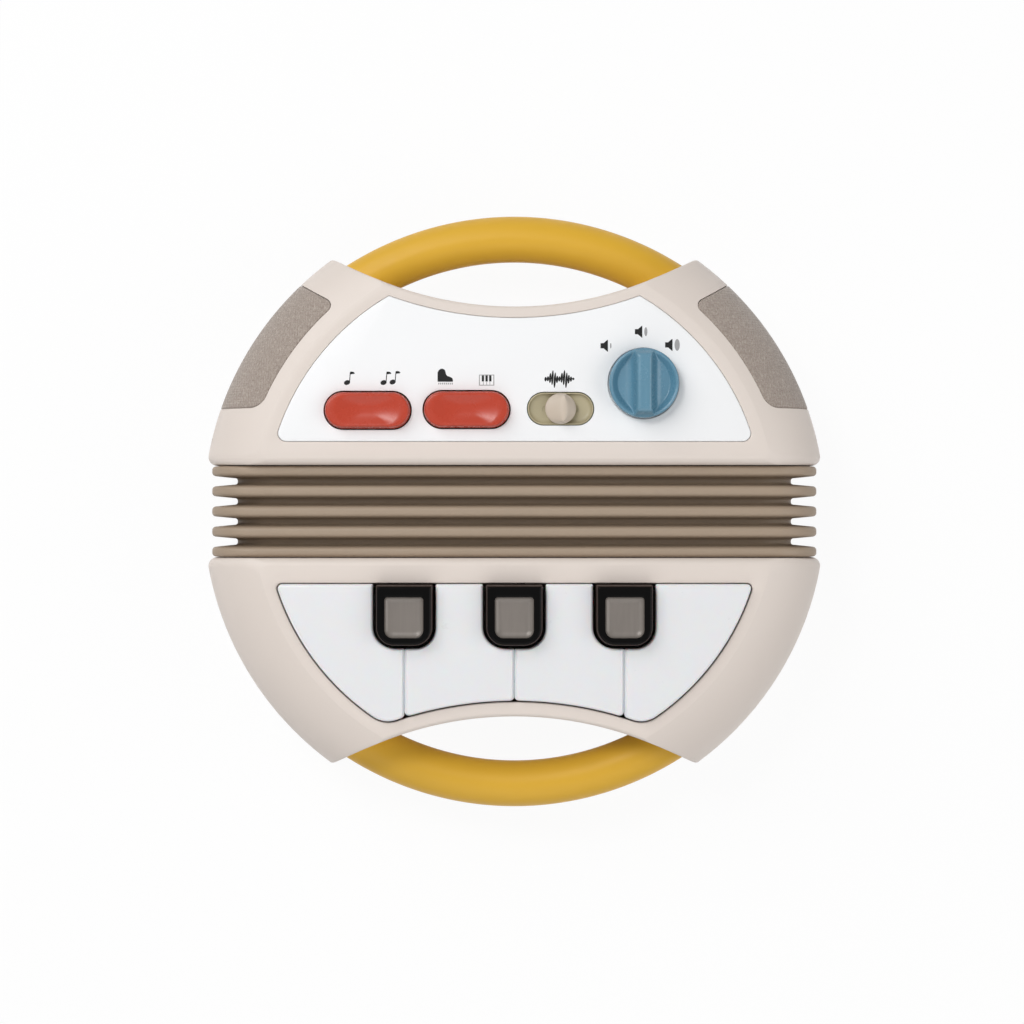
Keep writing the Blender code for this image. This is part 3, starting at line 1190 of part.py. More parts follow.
def add_guides(materials):
    """Two rods fixed in the upper half and the bushes that they slide through in the lower."""
    head_y = -(BUSH_END + OPEN_TRAVEL + GAP)
    collar = ROD_RADIUS + ROD_COLLAR
    high = ROD_UPPER_END - SADDLE_INSET - SADDLE_THICKNESS / 2 - GAP
    low = high - COLLAR_LENGTH
    profile = [(collar, head_y - ROD_HEAD), (collar, head_y), (ROD_RADIUS, head_y), (ROD_RADIUS, low),
               (collar, low), (collar, high), (ROD_RADIUS, high), (ROD_RADIUS, ROD_UPPER_END)]
    inner = ROD_RADIUS + GAP
    outer = inner + BUSH_WALL
    tube = [(inner, -BUSH_START), (outer, -BUSH_START), (outer, -BUSH_END), (inner, -BUSH_END)]
    for word, x in (("left", -ROD_X), ("right", ROD_X)):
        solid(f"guide_rod_{word}", [rod_rings(profile, x)], materials["steel"])
        solid(f"guide_bush_{word}", [rod_rings(tube, x)], materials["olive"], joined=True)


def add_batteries(materials):
    """Three cells side by side, their contacts, the door and its screw."""
    (left, near), (right, far) = battery_box_size()
    z = DOOR_THICKNESS + GAP + BATTERY_RADIUS
    rows = [BATTERY_ROW_Y + (i - (BATTERY_COUNT - 1) / 2) * BATTERY_PITCH for i in range(BATTERY_COUNT)]
    profile = [(BATTERY_NUB_RADIUS, 0.0), (BATTERY_NUB_RADIUS, BATTERY_NUB),
               (BATTERY_RADIUS - BATTERY_EDGE, BATTERY_NUB), (BATTERY_RADIUS, BATTERY_NUB + BATTERY_EDGE),
               (BATTERY_RADIUS, BATTERY_LENGTH)]
    for i, y in enumerate(rows):
        rings = []
        for radius, run in profile:
            x = BATTERY_LEFT + run if i % 2 == 0 else BATTERY_LEFT + BATTERY_LENGTH - run
            rings.append(across(circle(radius, (y, z), 12), x))
        solid(f"battery_{i + 1}", [rings], materials["cell"])
    plate = rectangle((near + GAP, z - CONTACT_HEIGHT / 2), (far - GAP, z + CONTACT_HEIGHT / 2))
    ends = (left + GAP, left + GAP + CONTACT_THICKNESS)
    solid("battery_contact_left", [[across(plate, x) for x in ends]], materials["steel"])
    ends = (right - GAP - CONTACT_THICKNESS, right - GAP)
    contact = solid("battery_contact_right", [[across(plate, x) for x in ends]], materials["steel"])
    tip = ends[0] - SPRING_LENGTH + GAP
    foot = (ends[0] + ends[1]) / 2
    springs = [[across(circle(SPRING_TIP, (y, z), 8), tip), across(circle(SPRING_FOOT, (y, z), 8), foot)]
               for y in rows]
    combine(contact, solid("contact_springs", springs), "UNION")
    add_door(materials)


def add_door(materials):
    """The battery door, flush with the back, and the screw that keeps it shut."""
    (x0, y0), (x1, y1) = door_size()
    corners = [(x, y, DOOR_CORNER) for x, y in ((x0, y0), (x1, y0), (x1, y1), (x0, y1))]
    levels = ((DOOR_CHAMFER, 0), (0, DOOR_CHAMFER), (0, DOOR_THICKNESS))
    rings = [level(inset_rounded(corners, inset), z) for inset, z in levels]
    door = solid("battery_door", [rings], materials["housing"])
    place = door_screw_place()
    seat = DOOR_THICKNESS / 2
    wide, narrow = SCREW_HEAD + GAP, SCREW_RADIUS + GAP
    hole = turned([(wide, -EPS), (wide, seat), (narrow, seat), (narrow, DOOR_THICKNESS + EPS)], place)
    combine(door, solid("door_hole", [hole]), "DIFFERENCE")
    seat -= GAP
    profile = [(SCREW_HEAD, GAP), (SCREW_HEAD, seat), (SCREW_RADIUS, seat),
               (SCREW_RADIUS, DOOR_THICKNESS + DOOR_SCREW_LENGTH)]
    solid("battery_door_screw", [turned(profile, place, 8)], materials["steel"])


def cable_route():
    """The cable's line from the keyboard's board, slack through the bellows, to the main board."""
    z = SEAM_Z
    sag = CABLE_SAG
    low = KEY_BOARD_Z - CABLE_RADIUS - GAP
    high = MAIN_BOARD_Z - CABLE_RADIUS - GAP
    line = [
        (1.0, -2.0, low), (0.88, -1.94, (low + z) / 2), (0.38, -1.65, z + sag / 3), (0.0, -1.3, z),
        (0.0, -0.94, z), (0.25, -0.53, z - sag / 3), (1.0, -0.24, z - sag), (0.75, 0.12, z - sag),
        (-0.5, 0.18, z - sag / 3), (-0.75, 0.47, z), (-0.2, 0.74, z), (0.0, 1.0, z), (0.0, 1.35, z),
        (-0.38, 1.65, z + sag), (-1.0, 1.82, (high + z) / 2), (-1.1, 1.88, high),
    ]
    return [(CABLE_SWING * x, BASE_Y * y, height) for x, y, height in line]


def add_cable(materials):
    """The cable that joins the two boards, with slack inside the bellows."""
    route = cable_route()
    curve = bpy.data.curves.new("link_cable", "CURVE")
    curve.dimensions = "3D"
    curve.bevel_depth = CABLE_RADIUS
    curve.bevel_resolution = 1
    curve.use_fill_caps = True
    spline = curve.splines.new("POLY")
    spline.points.add(len(route) - 1)
    for point, place in zip(spline.points, route):
        point.co = (*place, 1.0)
    curve.materials.append(materials["dark"])
    bpy.context.scene.collection.objects.link(bpy.data.objects.new("link_cable", curve))


def build():
    """Model every piece."""
    start_empty()
    materials = make_materials()
    add_upper_front(materials)
    add_upper_back(materials)
    add_lower_front(materials)
    add_lower_back(materials)
    add_handle("top_handle", 1, materials)
    add_handle("bottom_handle", -1, materials)
    add_bellows(materials)
    add_panel(materials)
    for side, place in ROCKER_PLACES.items():
        add_rocker(side, place, materials)
    add_slider(materials)
    add_knob(materials)
    add_speakers(materials)
    add_boards(materials)
    add_keyboard(materials)
    add_guides(materials)
    add_batteries(materials)
    add_cable(materials)
    add_screws("upper", 1, materials["steel"])
    add_screws("lower", -1, materials["steel"])


build()
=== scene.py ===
"""Looks of the toy accordion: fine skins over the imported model, their finishes, a floor, lights and a
camera straight above, as in the photograph.

Sizes are those of the model, in metres. +Z comes out of the front and +Y runs from the keyboard to
the control panel. "side" is 1 for the upper half and -1 for the lower.
"""

import json
import math

import bmesh
import bpy
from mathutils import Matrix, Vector


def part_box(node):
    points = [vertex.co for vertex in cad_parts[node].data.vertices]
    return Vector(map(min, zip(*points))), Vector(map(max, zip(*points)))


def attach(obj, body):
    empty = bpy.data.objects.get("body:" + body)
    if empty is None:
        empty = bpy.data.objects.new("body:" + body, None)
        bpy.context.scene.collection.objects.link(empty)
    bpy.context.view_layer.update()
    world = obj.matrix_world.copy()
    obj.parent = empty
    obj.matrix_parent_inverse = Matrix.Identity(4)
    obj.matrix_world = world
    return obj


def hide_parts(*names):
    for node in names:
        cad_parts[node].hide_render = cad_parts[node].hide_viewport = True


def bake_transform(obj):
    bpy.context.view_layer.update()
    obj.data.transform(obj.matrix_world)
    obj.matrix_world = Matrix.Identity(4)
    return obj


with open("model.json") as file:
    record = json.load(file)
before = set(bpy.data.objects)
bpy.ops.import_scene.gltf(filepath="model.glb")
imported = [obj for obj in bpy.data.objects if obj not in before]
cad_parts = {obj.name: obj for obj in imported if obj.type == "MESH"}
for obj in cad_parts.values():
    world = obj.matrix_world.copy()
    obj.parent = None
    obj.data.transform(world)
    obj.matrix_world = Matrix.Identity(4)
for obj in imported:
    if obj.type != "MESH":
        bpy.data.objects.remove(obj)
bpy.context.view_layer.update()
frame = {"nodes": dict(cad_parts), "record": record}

MM = 0.001
GAP = 0.3 * MM
WALL = 2.6 * MM
# How far a cutter reaches past what it cuts, and the angle from which an edge is sharp, in degrees
EPS = 1.0 * MM
SHARP_ANGLE = 30

# Housing in plan: a disc with a straight edge at the bellows and a concave cut at the hand
DISC_RADIUS = 115.6 * MM
BASE_Y = 17.0 * MM
CUT_RADIUS = 130.0 * MM
CUT_APEX_Y = 74.7 * MM
CUT_CENTRE_Y = CUT_APEX_Y + CUT_RADIUS
HOUSING = (DISC_RADIUS, BASE_Y, CUT_RADIUS)
BASE_CORNER = 3.2 * MM
TIP_CORNER = 1.6 * MM

# Housing from the side
DEPTH = 62.0 * MM
SEAM_Z = DEPTH / 2
CREASE_RADIUS = 95.4 * MM
CREASE_ANGLE = math.radians(65)
CREASE_SOFTNESS = 1.6 * MM
SHOULDER_DROP = 23.6 * MM
SHOULDER_WIDTH = (DISC_RADIUS - CREASE_RADIUS) / (1 - math.cos(CREASE_ANGLE))
SHOULDER_HEIGHT = SHOULDER_DROP / math.sin(CREASE_ANGLE)
SHOULDER_R = DISC_RADIUS - SHOULDER_WIDTH
SHOULDER_Z = DEPTH - SHOULDER_DROP
BACK_ROUND_WIDTH = 16.0 * MM
BACK_ROUND_HEIGHT = 18.0 * MM
BASE_EDGE = 3.0 * MM
CUT_EDGE = 1.5 * MM
SEAM_EDGE = 0.35 * MM

# Control panel
PANEL_Z = DEPTH + 0.2 * MM
PANEL_RADIUS = CREASE_RADIUS - 4.8 * MM
PANEL_BASE_Y = BASE_Y + 8.7 * MM
PANEL_CUT = CUT_RADIUS + 4.4 * MM
PANEL = (PANEL_RADIUS, PANEL_BASE_Y, PANEL_CUT)
PANEL_THICKNESS = 2.6 * MM
PANEL_CORNER = 3.0 * MM
PANEL_TIP = 0.8 * MM
PANEL_EDGE = 0.4 * MM
PANEL_SWELL = 0.2 * MM
LEDGE_WIDTH = 2.2 * MM
LEDGE_Z = PANEL_Z - PANEL_THICKNESS - GAP
CEILING_Z = LEDGE_Z - 2.3 * MM

# Controls on the panel
ROCKER_PLACES = {"left": (-53.4 * MM, 36.8 * MM), "right": (-17.4 * MM, 37.1 * MM)}
ROCKER_LENGTH = 31.2 * MM
ROCKER_WIDTH = 13.3 * MM
ROCKER_GAP = 0.5 * MM
ROCKER_SKIRT = 0.4 * MM
ROCKER_TOP = PANEL_Z + 3.7 * MM
ROCKER_LOW = PANEL_Z - 5.6 * MM
ROCKER_EDGE = 1.1 * MM
ROCKER_END = 3.7 * MM
ROCKER_SIDE = 1.45 * MM
ROCKER_SLOPE = 4.6 * MM
ROCKER_DISH = 1.15 * MM
ROCKER_SKIRT_DROP = 2.6 * ROCKER_EDGE
ROCKER_END_SLOPE = 2.2 * ROCKER_SLOPE
SLIDER_PLACE = (16.8 * MM, 37.4 * MM)
SLIDER_BED = (24.0 * MM, 11.7 * MM)
BED_DEPTH = 3.7 * MM
SLIDER_RECESS = 1.6 * MM
SLIDER_RIM = 0.45 * MM
SLIDER_BOWL = 1.9 * MM
SLIDER_RIDGE = 1.3 * MM
SLIDER_TRAVEL = 5.5 * MM
SLIDER_STEM = 0.9 * MM
SLIDER_GROOVE = 0.3 * MM
SLIDER_CAP_RADIUS = 5.6 * MM
SLIDER_CAP_HEIGHT = 5.6 * MM
# The cap's steps upwards: width, length and height as shares of its radius and height
CAP_STEPS = [(0.76, 0.76, 0), (0.78, 0.78, 0.03), (0.78, 0.78, 0.28), (0.98, 0.98, 0.29), (1, 1, 0.32),
             (1, 1, 0.42), (0.985, 0.985, 0.46), (0.93, 0.95, 0.50), (0.74, 0.92, 0.62), (0.50, 0.89, 0.78),
             (0.28, 0.86, 0.93), (0.16, 0.84, 0.985), (0.06, 0.80, 1)]
CAP_LEAN_START = 0.45
CAP_LEAN_SPAN = 0.9
KNOB_PLACE = (47.0 * MM, 46.6 * MM)
KNOB_RADIUS = 12.65 * MM
KNOB_HEIGHT = 9.2 * MM
KNOB_EDGE = 0.8 * MM
KNOB_CHAMFER = 0.25 * MM
KNOB_SHAFT = 3.0 * MM
# How far the knob falls, as a share of its height, by the share of its radius: across its bar, along it
# and outwards
KNOB_SCOOP = [(0.0, 0.0), (0.14, 0.004), (0.19, 0.035), (0.23, 0.13), (0.28, 0.32), (0.34, 0.47),
              (0.44, 0.57), (0.60, 0.61), (1.30, 0.61)]
KNOB_BAR_END = [(0.0, 0.0), (0.74, 0.0), (0.82, 0.05), (0.93, 0.30), (1.10, 0.48)]
KNOB_RIM = [(0.0, 1.0), (0.66, 0.95), (0.77, 0.60), (0.82, 0.52), (0.92, 0.37), (1.10, 0.36)]
KNOB_BLEND = 0.05
KNOB_WELL = 0.45 * MM
KNOB_WELL_DEPTH = 1.0 * MM

# Speaker cloth
CLOTH_RADIUS = CREASE_RADIUS + 4.5 * MM
CLOTH_BASE_Y = BASE_Y + 20.9 * MM
CLOTH_CUT = CUT_RADIUS + 14.4 * MM
CLOTH_LOW_Z = SEAM_Z + 3.0 * MM
CLOTH_THICKNESS = 1.2 * MM
CLOTH_CORNER = 4.0 * MM
CLOTH_EDGE = 0.8 * MM
CLOTH_DROP = 0.7 * MM
CLOTH_CROWDING = 1.7

# Keys
KEY_GAP = 0.8 * MM
KEY_FLANGE = 0.36 * MM
KEY_REAR_GAP = 0.3 * MM
KEY_FRONT_GAP = 0.6 * MM
KEY_GROOVE = 1.35 * MM
KEY_RADIUS = CREASE_RADIUS - 4.2 * MM
KEY_BASE_Y = BASE_Y + 9.1 * MM
KEY_CUT = CUT_RADIUS + 5.3 * MM
KEY_CORNER = 2.0 * MM
KEY_TIP = 10.0 * MM
KEY_LIP = 0.5 * MM
KEY_PITCH = 39.989 * MM
KEY_BOTTOM = CEILING_Z + 2 * GAP
WHITE_Z = DEPTH + 2.5 * MM
WHITE_THICKNESS = 4.2 * MM
WHITE_EDGE = 1.1 * MM
KEY_OUTER_CORNER = 1.6 * MM
KEY_SMALL_CORNER = 0.7 * MM
KEY_LOW_CORNER = 1.7 * MM
KEY_CHAMFER = 0.3 * MM
KEY_STEP = 0.1 * MM
BLACK_Z = DEPTH + 7.0 * MM
BLACK_WIDTH = 0.53 * KEY_PITCH
BLACK_LENGTH = 22.2 * MM
BLACK_CORNER = 7.0 * MM
BLACK_EDGE = 1.7 * MM
BLACK_DRAFT = 0.3 * BLACK_EDGE
BLACK_ROUND = 0.7 * BLACK_EDGE
# Depth below a black key's top from which its faces take the painted shade of the gap round it
BLACK_PAINTED_SHADE_DROP = 0.35 * MM
BLACK_REAR_CORNER = 0.8 * MM
DISH_WIDTH = BLACK_WIDTH - 7.0 * MM
DISH_START = 4.1 * MM
DISH_END = 19.0 * MM
DISH_DEPTH = 1.8 * MM
DISH_REAR_CORNER = 1.2 * MM
DISH_CORNER = DISH_WIDTH / 4.6
# The dish's rounded lip as (inset, depth) in millimetres, where its bowl starts, and where its gloss ends
DISH_LIP = [(-0.35, 0.0), (-0.1, 0.06), (0.05, 0.25)]
DISH_LIP_WIDTH = 0.1 * MM
DISH_LIP_DEPTH = 0.4 * MM
DISH_BOWL = 2.4 * MM
DISH_GLOSS = 0.3 * MM
NOTCH_END = -(KEY_BASE_Y + KEY_GAP + BLACK_LENGTH + KEY_GAP)

# Handles and bellows
HANDLE_TUBE = 8.6 * MM
HANDLE_END_RIM = 12.4 * MM
HANDLE_END_CUT = 11.1 * MM
HANDLE_REACH = CUT_APEX_Y + 18.6 * MM + HANDLE_TUBE
RIB_COUNT = 5
RIB_THICKNESS = 3.5 * MM
RIB_PITCH = (2 * (BASE_Y - GAP) - RIB_THICKNESS) / (RIB_COUNT - 1)
RIB_HALF_WIDTH = math.sqrt(DISC_RADIUS**2 - BASE_Y**2) - 2.2 * MM
RIB_DEPTH = 9.0 * MM
RIB_ROUND = 1.35 * MM
VALLEY_WIDTH = 2.2 * MM
VALLEY_ROUND = 0.9 * MM
BELLOWS_END = (RIB_COUNT - 1) / 2 * RIB_PITCH + RIB_THICKNESS / 2
BELLOWS_BACK = 3.5 * MM
BELLOWS_FRONT = DEPTH - 4.5 * MM
BELLOWS_CORNER = 17.0 * MM
BELLOWS_CORNER_FALL = 0.5
BELLOWS_SKIN = 1.4 * MM
ROD_X = 40.0 * MM
ROD_WAY = 3.6 * MM
CABLE_WAY = 4.5 * MM

# Back
SCREW_WAY = 3.2 * MM
SCREW_HOLE = 1.8 * MM
SCREW_HEAD_Z = 16.0 * MM
DOOR_THICKNESS = 2.3 * MM
DOOR_CORNER = 2.0 * MM
DOOR_CHAMFER = 0.3 * MM

# Printed symbols, in millimetres round their own places, and how far the ink is sunk and raised
NOTE_HEAD = (2.3, 1.75, 20)
NOTE_STEM = [(0.75, 0), (1.05, 0), (1.35, 3.6), (1.05, 3.6)]
NOTE_FLAG = [(1.10, 3.0), (1.30, 3.0), (2.55, 3.15), (2.85, 3.35), (2.45, 3.85), (1.75, 4.0), (1.1, 3.95)]
PIANO_PLACE = (-25.2, 47.2)
PIANO = [(-2.75, 0), (-2.75, 3.4), (-2.3, 4.2), (-1.6, 4.7), (-0.8, 4.75), (-0.1, 4.3), (0.2, 3.4),
         (0.35, 2.6), (0.9, 2.05), (1.9, 1.75), (2.6, 1.3), (2.85, 0.7), (2.85, 0)]
KEYS_PLACE = (-10.1, 47.8)
KEYS_FRAME = [((-2.8, -2.0), (-2.45, 2.0)), ((2.45, -2.0), (2.8, 2.0)), ((-2.45, -2.0), (2.45, -1.7)),
              ((-2.45, 1.7), (2.45, 2.0))]
WAVE_PLACE = (16.4, 48.2)
WAVE_PITCH = 0.84
WAVE_TILT = -4
WAVE_RISES = (0.8, 1.0, 2.2, 3.2, 2.4, 1.2, 1.0, 2.3, 3.3, 2.4, 1.5, 0.9, 0.5)
WAVE_DROPS = (0.9, 0.8, 1.5, 2.2, 3.3, 1.5, 0.9, 1.4, 2.3, 3.3, 1.7, 1.0, 0.4)
HORN = [(-1.45, -0.95), (-0.35, -0.95), (1.05, -2.15), (1.25, -2.15), (1.25, 2.15), (1.05, 2.15),
        (-0.35, 0.95), (-1.45, 0.95)]
HORNS = [(32.8, 60.3, 0.55, 2.0), (45.3, 65.4, 1.1, 3.3), (56.3, 60.6, 1.9, 4.3)]
INK_SUNK = 0.01 * MM
INK_RAISED = 0.02 * MM

# What a finish's name starts with, and depths of the finest relief, made by bump
LOOK = "look_"
BUMP_DEPTH = 0.05 * MM
CLOTH_BUMP_DEPTH = 0.15 * MM
BOARD_BUMP_DEPTH = 0.03 * MM

# Camera, floor and lights; a light is its name, place, size and power
CAMERA_PLACE = (-0.86 * MM, -0.2 * MM, 1089.0 * MM)
CAMERA_FOCAL = 99.2
CAMERA_SENSOR = 36.0
WHITE = (1, 1, 1, 1)
FLOOR_SIZE = 6.0
FLOOR_COLOR = (0.86, 0.86, 0.86, 1.0)
FLOOR_GLOW_SHARE = 0.93
WORLD_LIGHT = 0.16
LIGHT_TARGET = (0, 0, 0.03)
LIGHTS = [("key", (-0.38, 0.42, 1.20), 0.35, 4.4), ("left", (-0.85, 0.85, 1.00), 1.2, 12.0),
          ("right", (1.15, -0.15, 0.90), 1.2, 6.9), ("front", (-0.10, -1.05, 1.05), 1.8, 7.8)]

# How finely round things are divided
DISC_STEPS = 44
CUT_STEPS = 30
CORNER_STEPS = 9
TIP_STEPS = 8


def arc(centre, radius, start, end, steps):
    """Points on an arc, both ends included."""
    turns = [start + (end - start) * i / steps for i in range(steps + 1)]
    return [(centre[0] + radius * math.cos(t), centre[1] + radius * math.sin(t)) for t in turns]


def circle(radius, centre=(0.0, 0.0), sides=48):
    """A closed circle of points."""
    return arc(centre, radius, 0.0, math.tau * (sides - 1) / sides, sides - 1)


def quarter(steps):
    """Cosine and sine of even steps from 0 to 90 degrees."""
    turns = [math.pi / 2 * i / steps for i in range(steps + 1)]
    return [(math.cos(turn), math.sin(turn)) for turn in turns]


def rectangle(low, high):
    """The four corners of a rectangle, anticlockwise."""
    return [low, (high[0], low[1]), high, (low[0], high[1])]


def stadium(length, width, centre, inset=0.0, steps=24):
    """An outline with straight long sides and round ends."""
    reach = (length - width) / 2
    radius = width / 2 - inset
    right = arc((centre[0] + reach, centre[1]), radius, -math.pi / 2, math.pi / 2, steps)
    left = arc((centre[0] - reach, centre[1]), radius, math.pi / 2, 1.5 * math.pi, steps)
    return right + left


def rounded(corners, steps=10):
    """An outline with its corners (x, y, radius) rounded."""
    points = []
    for before, here, after in zip(corners[-1:] + corners[:-1], corners, corners[1:] + corners[:1]):
        corner = Vector(here[:2])
        if here[2] == 0:
            points.append(tuple(corner))
            continue
        back = (Vector(before[:2]) - corner).normalized()
        ahead = (Vector(after[:2]) - corner).normalized()
        half = back.angle(ahead) / 2
        reach = here[2] / math.tan(half)
        centre = corner + (back + ahead).normalized() * (here[2] / math.sin(half))
        first = corner + back * reach - centre
        turn = (corner + ahead * reach - centre).angle_signed(first)
        start = math.atan2(first.y, first.x)
        points += arc(tuple(centre), here[2], start, start + turn, steps)
    return points


def inset_outline(points, distance):
    """An anticlockwise outline moved inwards."""
    moved = []
    for before, here, after in zip(points[-1:] + points[:-1], points, points[1:] + points[:1]):
        back = (Vector(here) - Vector(before)).normalized()
        ahead = (Vector(after) - Vector(here)).normalized()
        normal_back = Vector((-back.y, back.x))
        normal_ahead = Vector((-ahead.y, ahead.x))
        shift = (normal_back + normal_ahead) / (1 + normal_back.dot(normal_ahead))
        moved.append(tuple(Vector(here) + shift * distance))
    return moved


def inset_rounded(corners, distance, steps=10):
    """A rounded outline moved inwards, with smaller corners."""
    moved = inset_outline([corner[:2] for corner in corners], distance)
    least = 0.2 * MM
    radii = [max(corner[2] - distance, least) if corner[2] else 0 for corner in corners]
    return rounded([(*point, radius) for point, radius in zip(moved, radii)], steps)


def level(points, z):
    """A flat outline as points at one height."""
    return [(x, y, z) for x, y in points]


def along(points, y):
    """An outline in X and Z as points at one Y."""
    return [(x, y, z) for x, z in points]


def loft(bm, rings, joined=False, strips=False):
    """Skin equal rings, closed by flat caps, by strips, or by joining last to first."""
    rows = [[bm.verts.new(point) for point in ring] for ring in rings]
    pairs = list(zip(rows, rows[1:]))
    if joined:
        pairs.append((rows[-1], rows[0]))
    elif strips:
        for row in (rows[0], rows[-1]):
            for i in range(len(row) // 2 - 1):
                bm.faces.new((row[i], row[i + 1], row[-2 - i], row[-1 - i]))
    else:
        bm.faces.new(reversed(rows[0]))
        bm.faces.new(rows[-1])
    for lower, upper in pairs:
        for i, here in enumerate(lower):
            j = (i + 1) % len(lower)
            bm.faces.new((here, lower[j], upper[j], upper[i]))


def piece(name, rings, material=None, joined=False, strips=False, sharp=SHARP_ANGLE):
    """An object lofted from rings. Without a material it is a cutter."""
    bm = bmesh.new()
    loft(bm, rings, joined, strips)
    bmesh.ops.recalc_face_normals(bm, faces=bm.faces)
    return from_bmesh(name, bm, material, sharp)


def smooth(mesh, sharp):
    """Shade a mesh smooth but for edges sharper than an angle in degrees."""
    mesh.shade_smooth()
    mesh.set_sharp_from_angle(angle=math.radians(sharp))


def new_object(name, data):
    """An object in the scene from its data."""
    obj = bpy.data.objects.new(name, data)
    bpy.context.scene.collection.objects.link(obj)
    return obj


def from_bmesh(name, bm, material, sharp=SHARP_ANGLE):
    """An object from a bmesh."""
    mesh = bpy.data.meshes.new(name)
    bm.to_mesh(mesh)
    bm.free()
    smooth(mesh, sharp)
    if material:
        mesh.materials.append(material)
    return new_object(name, mesh)


def prism(name, outline, low, high):
    """A cutter with one outline from a low height to a high one."""
    return piece(name, [level(outline, low), level(outline, high)])


def cut(obj, cutters):
    """Take the cutters away from an object for good, and remove them."""
    for cutter in cutters:
        modifier = obj.modifiers.new(cutter.name, "BOOLEAN")
        modifier.operation = "DIFFERENCE"
        modifier.object = cutter
        modifier.solver = "EXACT"
    graph = bpy.context.evaluated_depsgraph_get()
    mesh = bpy.data.meshes.new_from_object(obj.evaluated_get(graph))
    obj.modifiers.clear()
    obj.data = mesh
    smooth(mesh, SHARP_ANGLE)
    for cutter in cutters:
        bpy.data.objects.remove(cutter, do_unlink=True)


def dress(obj, body, slot, *nodes):
    """Give a piece its body, and hide the CAD nodes that it stands for; its slot is not used."""
    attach(obj, body)
    if nodes:
        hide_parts(*nodes)


def middle_of(name):
    """The middle of a CAD node in plan."""
    low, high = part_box(name)
    return (low[0] + high[0]) / 2, (low[1] + high[1]) / 2


def between_arcs(reach, cut_reach):
    """Where a circle round the disc's centre meets one round the cut's centre, at +X."""
    y = (reach**2 - cut_reach**2 + CUT_CENTRE_Y**2) / (2 * CUT_CENTRE_Y)
    return math.sqrt(reach**2 - y**2), y


def half_outline(radius, base, cut_radius, base_corner, tip_corner):
    """Plan of the upper half: base edge, disc arcs, concave cut, rounded corners."""
    corner_y = base + base_corner
    corner_x = math.sqrt((radius - base_corner) ** 2 - corner_y**2)
    tip_x, tip_y = between_arcs(radius - tip_corner, cut_radius + tip_corner)
    corner_turn = math.atan2(corner_y, corner_x)
    tip_turn = math.atan2(tip_y, tip_x)
    cut_turn = math.atan2(tip_y - CUT_CENTRE_Y, tip_x)
    right = arc((corner_x, corner_y), base_corner, -math.pi / 2, corner_turn, CORNER_STEPS)
    right += arc((0, 0), radius, corner_turn, tip_turn, DISC_STEPS)[1:-1]
    right += arc((tip_x, tip_y), tip_corner, tip_turn, cut_turn + math.pi, TIP_STEPS)
    right += arc((0, CUT_CENTRE_Y), cut_radius, cut_turn, -math.pi / 2, CUT_STEPS)[1:-1]
    left = [(-x, y) for x, y in reversed(right)]
    return right + [(0, CUT_CENTRE_Y - cut_radius)] + left


def half_ring(side, radius, base, cut_radius, z, base_corner=BASE_CORNER, tip_corner=TIP_CORNER):
    """A ring of the half's plan at one height."""
    outline = half_outline(radius, base, cut_radius, base_corner, tip_corner)
    return [(x, y * side, z) for x, y in outline]


def drawn_in(edges, by):
    """A plan's disc radius, base and cut radius, all drawn in by a distance."""
    return edges[0] - by, edges[1] + by, edges[2] + by


def edge_round(radius, below):
    """How far a rounded edge draws in at a height below its face."""
    if below >= radius:
        return 0.0
    return radius - math.sqrt(radius**2 - (radius - max(below, 0.0)) ** 2)


def shoulder(angle, inset=0.0):
    """Radius and height of the shoulder's elliptical arc, 0 at the wall and more at the crease."""
    radius = SHOULDER_R + (SHOULDER_WIDTH - inset) * math.cos(angle)
    return radius, SHOULDER_Z + (SHOULDER_HEIGHT - inset) * math.sin(angle)


def shoulder_angles():
    """Angles up the shoulder, close together where its edges turn over."""
    start = math.asin((SHOULDER_DROP - BASE_EDGE) / SHOULDER_HEIGHT)
    angles = [start * i / 20 for i in range(20)]
    for _, sine in quarter(12):
        below = BASE_EDGE * (1 - sine)
        angles.append(math.asin((SHOULDER_DROP - below) / SHOULDER_HEIGHT))
    return angles


def seam_rings(side, way):
    """Rings of a shell's rounded edge at the seam: way is 1 up the front one, -1 down the back one."""
    rings = []
    for i in range(4):
        height = SEAM_EDGE * i / 3
        edges = drawn_in(HOUSING, edge_round(SEAM_EDGE, height))
        rings.append(half_ring(side, *edges, SEAM_Z + way * GAP / 2 + way * height))
    return rings


def front_rings(side, opening, edge, corner, tip):
    """Rings of a front shell: seam, wall, shoulder, rim and the opening's edge."""
    rings = seam_rings(side, 1)
    for angle in shoulder_angles():
        radius, z = shoulder(angle)
        below = DEPTH - z
        base = BASE_Y + edge_round(BASE_EDGE, below)
        rings.append(half_ring(side, radius, base, CUT_RADIUS + edge_round(CUT_EDGE, below), z))
    inner = CREASE_SOFTNESS / 2
    flat = (CREASE_RADIUS - CREASE_SOFTNESS, BASE_Y + BASE_EDGE + inner, CUT_RADIUS + CUT_EDGE + inner)
    rings.append(half_ring(side, *flat, DEPTH))
    for cosine, sine in quarter(4):
        edges = drawn_in(opening, -edge * (1 - sine))
        rings.append(half_ring(side, *edges, DEPTH - edge * (1 - cosine), corner, tip))
    return rings


def inside_rings(side):
    """Rings of a front shell's inner face, from the ceiling back to the seam."""
    base = BASE_Y + WALL
    cut_radius = CUT_RADIUS + WALL
    top = math.asin((CEILING_Z - SHOULDER_Z) / (SHOULDER_HEIGHT - WALL))
    rings = []
    for share in (1.0, 0.6, 0.3, 0.0):
        radius, z = shoulder(top * share, WALL)
        rings.append(half_ring(side, radius, base, cut_radius, z))
    rings.append(half_ring(side, DISC_RADIUS - WALL, base, cut_radius, SEAM_Z + GAP / 2))
    return rings


